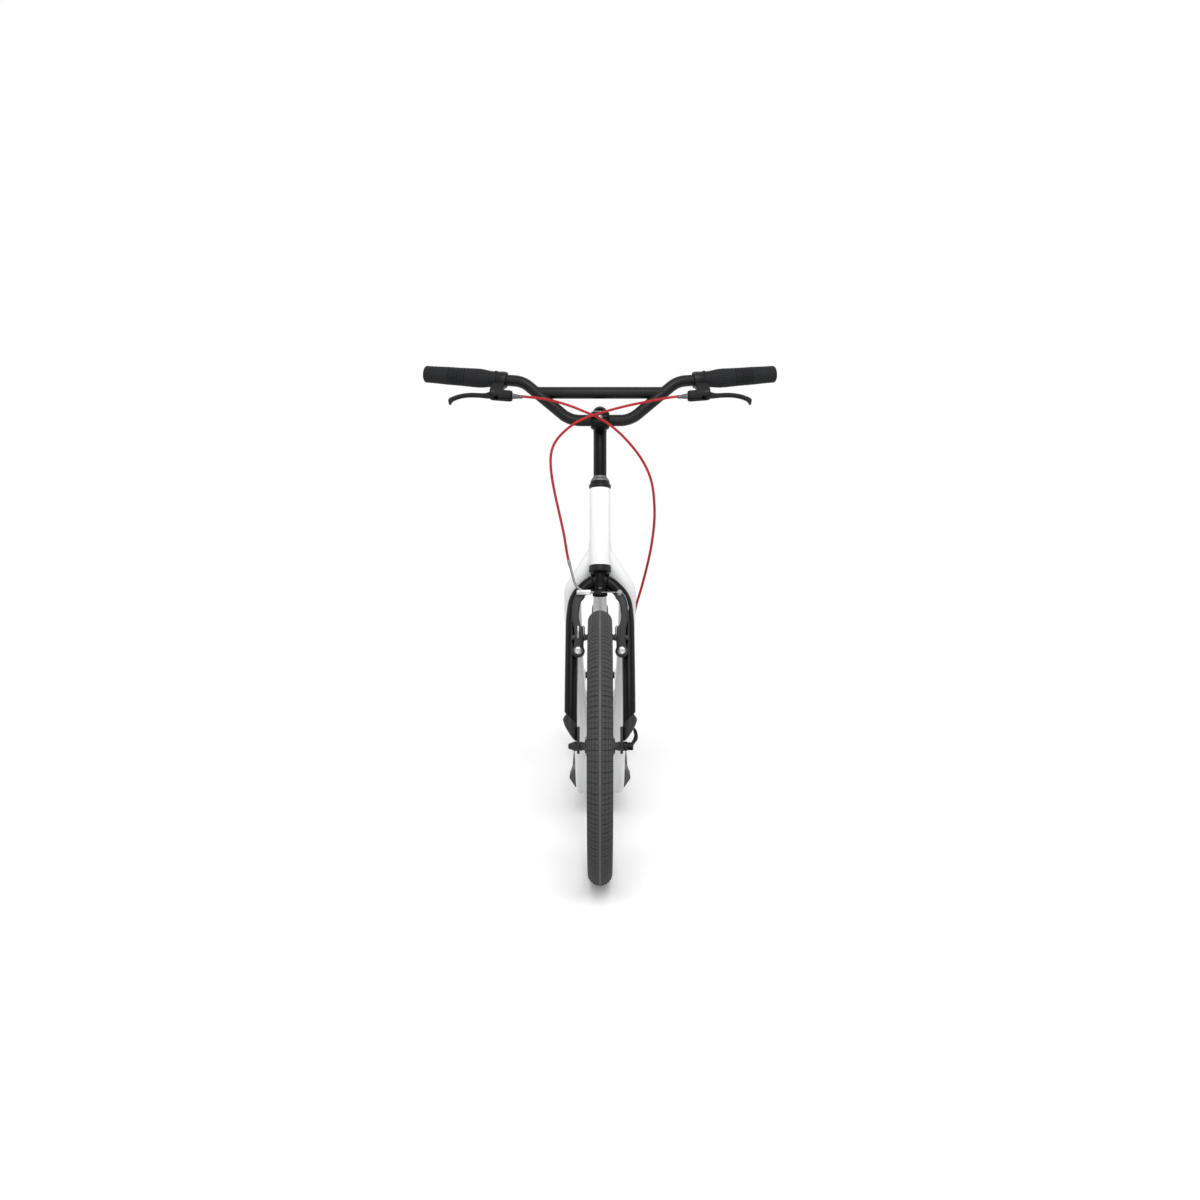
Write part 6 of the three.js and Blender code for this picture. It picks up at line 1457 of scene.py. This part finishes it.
def brake_pad(wheel):
    """The shoe, curved with the rim, with water grooves across the face that meets it."""
    seat = wheel.seat
    lift = (BRAKE.back + BRAKE.front) / 2
    half_angle = math.asin(BRAKE.pad_half / seat)

    def arc(radius, sign):
        angles = [sign * half_angle * (2 * k / 16 - 1) for k in range(17)]
        return [(radius * math.cos(angle), radius * math.sin(angle) + lift) for angle in angles]

    face = arc(seat - BRAKE.pad_tall, 1) + arc(seat + BRAKE.pad_tall, -1)
    outer = BRAKE.pad_inner + BRAKE.pad_thick
    shoe = prism(face, BRAKE.pad_inner, outer).moved(SIDEWAYS)
    grooves = [
        block((BRAKE.pad_inner - 2, BRAKE.pad_inner + BRAKE.pad_groove_deep), (seat - 9, seat + 9),
              (z - BRAKE.pad_groove_half, z + BRAKE.pad_groove_half))
        for z in (lift - BRAKE.pad_groove_pitch, lift, lift + BRAKE.pad_groove_pitch)
    ]
    return shoe.cut(*grooves).rounded(0.6)


def pad_hardware(wheel):
    """The pad's post with its dished washers and nut."""
    lift = (BRAKE.back + BRAKE.front) / 2
    outer = BRAKE.pad_inner + BRAKE.pad_thick
    face = BRAKE.spread + BRAKE.arm * ARM_OUTLINE_SHARES[0][0]
    far, end = BRAKE.nut_foot, BRAKE.nut_foot + BRAKE.nut_long
    washers = turned([
        (0, outer - GAP), (BRAKE.washer_foot, outer - GAP), (BRAKE.washer_foot, outer + 1.2),
        (BRAKE.washer - 1.6, outer + 2.2), (BRAKE.washer, outer + 2.8), (BRAKE.washer, face - GAP),
        (BRAKE.post, face - GAP), (BRAKE.post, far - 3), (BRAKE.washer - 0.8, far - 3),
        (BRAKE.washer - 0.4, far), (BRAKE.post, far), (BRAKE.post, end), (0, end),
    ], 0.3, 36)
    nut = hex_nut(BRAKE.nut * 0.87, far, end - 0.8)
    return along_x(washers + nut).shifted(y=wheel.seat, z=lift)


def guide_path(wheel, fit):
    """The line of the bent tube that turns the cable in to the brake, from its tip outwards."""
    steps = 18
    bend = math.radians(fit.bend_deg)
    path = [Vector((NOODLE.tip, wheel.cable, BRAKE.cable_out))]
    for i in range(steps + 1):
        angle = bend * i / steps
        path.append(Vector((NOODLE.bend_from - NOODLE.bend * math.sin(angle),
                            wheel.cable + NOODLE.bend * (1 - math.cos(angle)), BRAKE.cable_out)))
    path.append(path[-1] + Vector((-math.cos(bend), math.sin(bend), 0)) * fit.lead)
    return path


def guide(wheel, fit):
    """The bent tube, with the ferrule that the housing ends in."""
    path = guide_path(wheel, fit)
    start, wide = -NOODLE.ferrule_long, NOODLE.ferrule
    ferrule = turned([(0, start), (wide, start), (wide, -1), (CABLE_RADIUS + 0.4, 0), (0, 0)], 0.5, 28)
    collar = bead(NOODLE.radius - 0.2, 0.6, 24).shifted(z=start - 3)
    return tube(path, NOODLE.radius - 0.4, 24) + (ferrule + collar).moved(onto(path[-1], path[-1] - path[-2]))


def guide_link(wheel):
    """The pressed steel stirrup that holds the guide to its arm."""
    top, z = wheel.cable, BRAKE.cable_out
    x = (NOODLE.link_from, NOODLE.bend_from + NOODLE.radius)
    y = (top - NOODLE.link_half, top + NOODLE.link_half)
    inner, outer = NOODLE.link_inner, NOODLE.link_outer
    sides = [block(x, y, (z + low, z + low + outer - inner)).rounded(0.4) for low in (-outer, inner)]
    end = block((x[1] - 1.6, x[1]), y, (z - outer, z + outer)).rounded(0.4)
    pin = rod((x[0] + 4, top, BRAKE.front - 1), (x[0] + 4, top, z + 4.4), NOODLE.link_pin, 24)
    return joined([*sides, end, pin])


def boot(wheel):
    """The pleated rubber boot over the end of the guide."""
    mouth = LINK.radius + LINK.boot_play
    profile = [(LINK.boot - 0.8, 0), (LINK.boot - 0.4, 0), (LINK.boot, 0.8)]
    for k in range(5):
        z = 2 + LINK.boot_pleat * k
        wide = LINK.boot + (mouth + 0.8 - LINK.boot) * (z / LINK.boot_long)
        profile += [(wide - 0.6, z), (wide, z + LINK.boot_pleat / 2)]
    profile += [(mouth + 0.7, LINK.boot_long - 1), (mouth + 0.4, LINK.boot_long), (mouth, LINK.boot_long)]
    form = lathe(profile, 28, closed=True)
    return along_x(form).shifted(NOODLE.tip + GAP, wheel.cable, BRAKE.cable_out)


def link_cable(wheel):
    """The bare cable from the boot through the anchor bolt to its crimped end."""
    x, top, z = BRAKE.spread, wheel.cable, BRAKE.cable_out
    run = smooth([
        (NOODLE.tip + GAP + LINK.boot_long + 0.3, top, z), (x - 8, top, z), (x, top - 0.3, z),
        (x + LINK.tail_out / 2, top - LINK.tail_out / 2, z), (x + LINK.tail_out, top - 2 * LINK.tail_out, z),
        (x + LINK.tail_out + LINK.radius, top - LINK.tail_drop + 2, z),
    ], 2.5)
    crimp = rod(run[-1] + Vector((0, 5, 0)), run[-1] + Vector((0, -2, 0)), LINK.crimp, 16)
    foot = BRAKE.front + GAP
    anchor = rod((0, 0, foot), (0, 0, foot + 1.2), LINK.anchor_washer, 36, 0.3)
    anchor += hex_nut(LINK.anchor_nut, z + 0.6, z + 3.6)
    anchor += rod((0, 0, foot), (0, 0, z + 2), LINK.anchor_bolt, 24)
    anchor += rod((0, 0, z - 0.9), (0, 0, z + 0.7), LINK.anchor_washer - 0.4, 36, 0.3)
    return sweep(run, circle(LINK.radius, 12)) + crimp + anchor.shifted(x - LINK.anchor, top)


def add_brake(wheel, place, fit, guide_side, anchor_side):
    own = wheel.name
    shapes = (
        ("arm", brake_arm(wheel), CAST_ALLOY, "arm"), ("spring", return_spring(wheel), STAINLESS, "arm"),
        ("pad", brake_pad(wheel), PAD_RUBBER, "pad"), ("pad_post", pad_hardware(wheel), BLACKED_STEEL, "pad"),
    )
    for side, turn in ((anchor_side, Matrix.Identity(4)), (guide_side, MIRROR)):
        for label, shape, finish, node in shapes:
            make_piece(f"{own}_{side}_{label}", shape.moved(turn), place, finish, f"{own}_arm_{side}",
                       f"{own}_brake_{node}_{side}")
    guide_body = f"{own}_arm_{guide_side}"
    make_piece(own + "_spring_leaf", spring_leaf(wheel).moved(MIRROR), place, STAINLESS, guide_body,
               f"{own}_brake_arm_{guide_side}")
    make_piece(own + "_cable_guide", guide(wheel, fit), place, STAINLESS, guide_body, own + "_brake_noodle")
    make_piece(own + "_guide_stirrup", guide_link(wheel), place, ZINC, guide_body, own + "_brake_noodle")
    rubber = make_piece(own + "_pleated_boot", boot(wheel), place, BUTYL, None, own + "_brake_link_cable")
    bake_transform(rubber)
    make_piece(own + "_anchored_cable", link_cable(wheel), place, STAINLESS, f"{own}_arm_{anchor_side}",
               own + "_brake_link_cable")


add_brake(FRONT, FRONT_BRAKE, FRONT_FIT, "right", "left")
add_brake(REAR, REAR_BRAKE, REAR_FIT, "left", "right")

# Frame


def head_joint():
    """How far back and how high the side tubes and the down tube meet the head tube."""
    place = HEAD_TUBE.foot + JOINT_ABOVE_FOOT
    height = AXIS_FOOT.z + place * math.cos(TILT)
    back = AXIS_FOOT.y + place * math.sin(TILT) + HEAD_TUBE.radius + GAP
    return back, height


def side_tube_runs():
    """The left side tube's line from the head tube to the board, and from the board to the rear axle."""
    back, height = head_joint()
    front = [(RAIL.spread + (SHOULDER_SPREAD - RAIL.spread) * a, back + (RAIL.level_from - back) * b,
              RAIL.height + (height - RAIL.height) * c) for a, b, c in FRONT_RUN_SHARES]
    start = BOARD.rear + RAIL.straight
    rear = [(RAIL.spread + (REAR_STAY_SPREAD - RAIL.spread) * a, start + (WHEELBASE - start) * b,
             RAIL.height + (REAR.radius - RAIL.height) * c) for a, b, c in REAR_RUN_SHARES]
    return smooth(front, 7), smooth(rear, 7)


def stay_plate():
    """The plate at the side tube's end, with the slot that holds the rear axle."""
    y, z = WHEELBASE, REAR.radius
    nose, slot = STAY.nose, STAY.slot
    root_y, root_z = y - STAY.root_forward, z - STAY.root_drop
    half = STAY.root_half
    end = [(y - slot * math.sin(math.pi * k / 12), z - slot * math.cos(math.pi * k / 12)) for k in range(13)]
    tail = [(root_y - half, root_z + half), (root_y + half, root_z - half), (y - 6, z - nose),
            (y + nose - 3, z - nose), (y + nose, z - nose + 3), (y + nose, z - slot)]
    head = [(y + nose, z + slot), (y + nose, z + nose - 3), (y + nose - 3, z + nose), (y - 4, z + nose),
            (y - nose, z + nose / 2)]
    return prism([*tail, *end, *head], STAY.inner, STAY.inner + STAY.thick).moved(SIDEWAYS).rounded(0.9)


def side_rail(front, rear):
    """A white side tube. Where it runs low under the board it is drawn deeper and squarer."""
    # Its mitred top is welded into the back of the head tube, and its end narrows to the stay's plate.
    top = Vector((3, front[0].y - 13, front[0].z + 27))
    path = [top, top.lerp(front[0], 0.5), *front, *rear[1:]]
    ends = [1] * (len(path) - len(RAIL_END_SCALES)) + list(RAIL_END_SCALES)
    line, scales, rings = [], [], []
    for place, end in zip(path, ends):
        low = blend_between(((RAIL.height, 1), (RAIL.oval_to, 0)), place.z)
        line.append(place - Vector((0, 0, low * RAIL.sag)))
        scales.append((end, end * (1 + low * RAIL.sag / RAIL.radius)))
        rings.append(squared_circle(RAIL.radius, RAIL.sides, RAIL.squareness + low * RAIL.low_squareness))
    return sweep(line, rings, (1, 0, 0), scales)


def add_frame():
    front, rear = side_tube_runs()
    onto_brake = CHASSIS.inverted() @ REAR_BRAKE
    neck, bolt = brake_stud(REAR, onto_brake, [p.reflect(Vector((1, 0, 0))) for p in rear])
    neck = neck.moved(onto_brake).moved(MIRROR)
    make_pair("side_rail", side_rail(front, rear) + stay_plate() + neck, CHASSIS, WHITE_COAT, "frame",
              "side_tube_{}")
    make_pair("rear_brake_bolt", bolt, REAR_BRAKE, ZINC, "frame", "side_tube_{}")

    back, height = head_joint()
    line = [(0, back + (BRIDGE.back - back) * a, BRIDGE.height + (height - BRIDGE.height) * b)
            for a, b in DOWN_TUBE_SHARES]
    path = smooth(line, 6)
    lead = (path[0] - path[1]).normalized()
    down = tube([path[0] + lead * 24, path[0] + lead * 12, *path], DOWN_TUBE_RADIUS, 36)

    def bridge(back):
        return rod((-RAIL.spread, back, BRIDGE.height), (RAIL.spread, back, BRIDGE.height), BRIDGE.radius, 32)

    make_piece("centre_down_tube", down + bridge(BRIDGE.back), CHASSIS, WHITE_COAT, "frame", "down_tube")
    make_piece("rear_cross_tube", bridge(BRIDGE.rear_back), CHASSIS, WHITE_COAT, "frame", "rear_bridge")


def add_footboard():
    foot = RAIL.height + RAIL.radius + GAP
    top = foot + BOARD.thick
    half, corner = BOARD.half, BOARD.corner
    plan = [(-half, BOARD.front), (half, BOARD.front), (half, BOARD.rear - corner),
            (half - corner, BOARD.rear), (corner - half, BOARD.rear), (-half, BOARD.rear - corner)]
    base = prism(soften(plan, 9, 5), foot, top - BOARD.groove).rounded(3.2, 3)
    make_piece("moulded_footboard", base, CHASSIS, DECK_NYLON, "frame", "footboard")
    pitch = 2 * BOARD.field / BOARD.ridges
    wide, start, end = (pitch - BOARD.rib_gap) / 2, BOARD.front + 9, BOARD.rear - 12
    strip = prism(soften([(-wide, start), (wide, start), (wide, end), (-wide, end)], 3.5, 4),
                  top - BOARD.groove - 1, top).rounded(0.5)
    place = CHASSIS @ Matrix.Translation((-pitch * (BOARD.ridges - 1) / 2, 0, 0))
    make_piece("footboard_ribs", strip, place, DECK_NYLON, "frame", "footboard",
               copies=(BOARD.ridges, (0, 0, 0), (pitch, 0, 0)))
    screw = pair(cap_screw(BOARD.screw, 1.6, 2.1, 0.6, 1.3).shifted(RAIL.spread, 0, top - BOARD.groove))
    place = CHASSIS @ Matrix.Translation((0, BOARD.front + BOARD.screw_from, 0))
    make_piece("footboard_screws", screw, place, ZINC, "frame", "footboard",
               copies=(3, (0, 0, 0), (0, BOARD.screw_pitch, 0)))

    face = [
        (BUMPER.inner, foot - 6), (BUMPER.foot_half, BUMPER.foot_height),
        (BUMPER.ridge_half, BUMPER.ridge_height), (BUMPER.top_half, top), (BUMPER.inner, top),
    ]
    bumper = prism(soften(face, 1.6, 3), BUMPER.front, BUMPER.front + BUMPER.long).moved(UPRIGHT)
    make_pair("front_corner", bumper.rounded(1.2, 2), CHASSIS, BUMPER_NYLON_WITH_PAINTED_LIGHT, "frame", "corner_bumper_{}")


add_frame()
add_footboard()

for name in ("upper_bearing", "lower_bearing"):
    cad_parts[name].data.materials.clear()
    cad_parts[name].data.materials.append(BEARING_STEEL.material)

# Studio: a pale floor that keeps the object's shadow, and soft light all round.


def rays_that_see_white(tree):
    """Camera, mirror and glass rays, which see the plain white of the studio."""
    rays = add(tree, "ShaderNodeLightPath").outputs
    seen = rays["Is Camera Ray"]
    for kind in ("Is Glossy Ray", "Is Transmission Ray"):
        seen = add(tree, "ShaderNodeMath", {0: seen, 1: rays[kind]}, operation="MAXIMUM").outputs[0]
    return seen


def add_floor():
    size = 30  # metres from the middle to an edge
    mesh = bpy.data.meshes.new("floor")
    corners = [(-size, -size, 0), (size, -size, 0), (size, size, 0), (-size, size, 0)]
    mesh.from_pydata(corners, [], [(0, 1, 2, 3)])
    floor = bpy.data.objects.new("floor", mesh)
    bpy.context.scene.collection.objects.link(floor)
    material = bpy.data.materials.new("matt_white_studio_floor")
    material.use_nodes = True
    tree = material.node_tree
    tree.nodes.clear()
    place = add(tree, "ShaderNodeTexCoord").outputs["Object"]
    matt = add(tree, "ShaderNodeBsdfDiffuse", {"Color": colour("#d4d4d4")})
    # Seen directly it is over-exposed like the photo's floor: only real shade shows.
    clean = add(tree, "ShaderNodeBsdfDiffuse", {"Color": (1.1, 1.1, 1.1, 1)})
    white = add(tree, "ShaderNodeEmission", {"Color": (1, 1, 1, 1), "Strength": 1.0})
    # Far from the object the floor runs into the white background.
    away = add(tree, "ShaderNodeVectorMath", {0: place}, operation="LENGTH")
    fade = add(tree, "ShaderNodeMapRange", {"Value": away.outputs["Value"], "From Min": 0.8, "From Max": 1.9},
               interpolation_type="SMOOTHSTEP")
    seen = add(tree, "ShaderNodeMixShader",
               {0: fade.outputs["Result"], 1: clean.outputs[0], 2: white.outputs[0]})
    mixed = add(tree, "ShaderNodeMixShader",
                {0: rays_that_see_white(tree), 1: matt.outputs[0], 2: seen.outputs[0]})
    add(tree, "ShaderNodeOutputMaterial", {"Surface": mixed.outputs[0]})
    mesh.materials.append(material)


def add_light():
    scene = bpy.context.scene
    scene.view_settings.view_transform = "Standard"
    world = bpy.data.worlds.new("studio")
    scene.world = world
    world.use_nodes = True
    tree = world.node_tree
    tree.nodes.clear()
    soft = add(tree, "ShaderNodeBackground", {"Color": (1, 1, 1, 1), "Strength": 0.6})
    white = add(tree, "ShaderNodeBackground", {"Color": (1, 1, 1, 1), "Strength": 1.0})
    mixed = add(tree, "ShaderNodeMixShader",
                {0: rays_that_see_white(tree), 1: soft.outputs[0], 2: white.outputs[0]})
    add(tree, "ShaderNodeOutputWorld", {"Surface": mixed.outputs[0]})
    # Soft boxes: place, power in watts and side length, all aimed at the middle of the bike.
    for name, place, power, side in (
        ("key", (0.15, -2.3, 2.6), 50, 1.8), ("front_fill", (0, -3.2, 0.5), 14, 1.2),
        ("left_fill", (2.6, -0.4, 1.6), 9, 1.6), ("right_fill", (-2.6, -0.6, 1.6), 9, 1.6),
        ("back", (0, 2.6, 2.4), 18, 1.8),
    ):
        data = bpy.data.lights.new(name, "AREA")
        data.energy = power
        data.size = side
        lamp = bpy.data.objects.new(name, data)
        lamp.location = place
        aim = Vector((0, 0, 0.45)) - Vector(place)
        lamp.rotation_euler = aim.to_track_quat("-Z", "Y").to_euler()
        scene.collection.objects.link(lamp)


add_floor()
add_light()
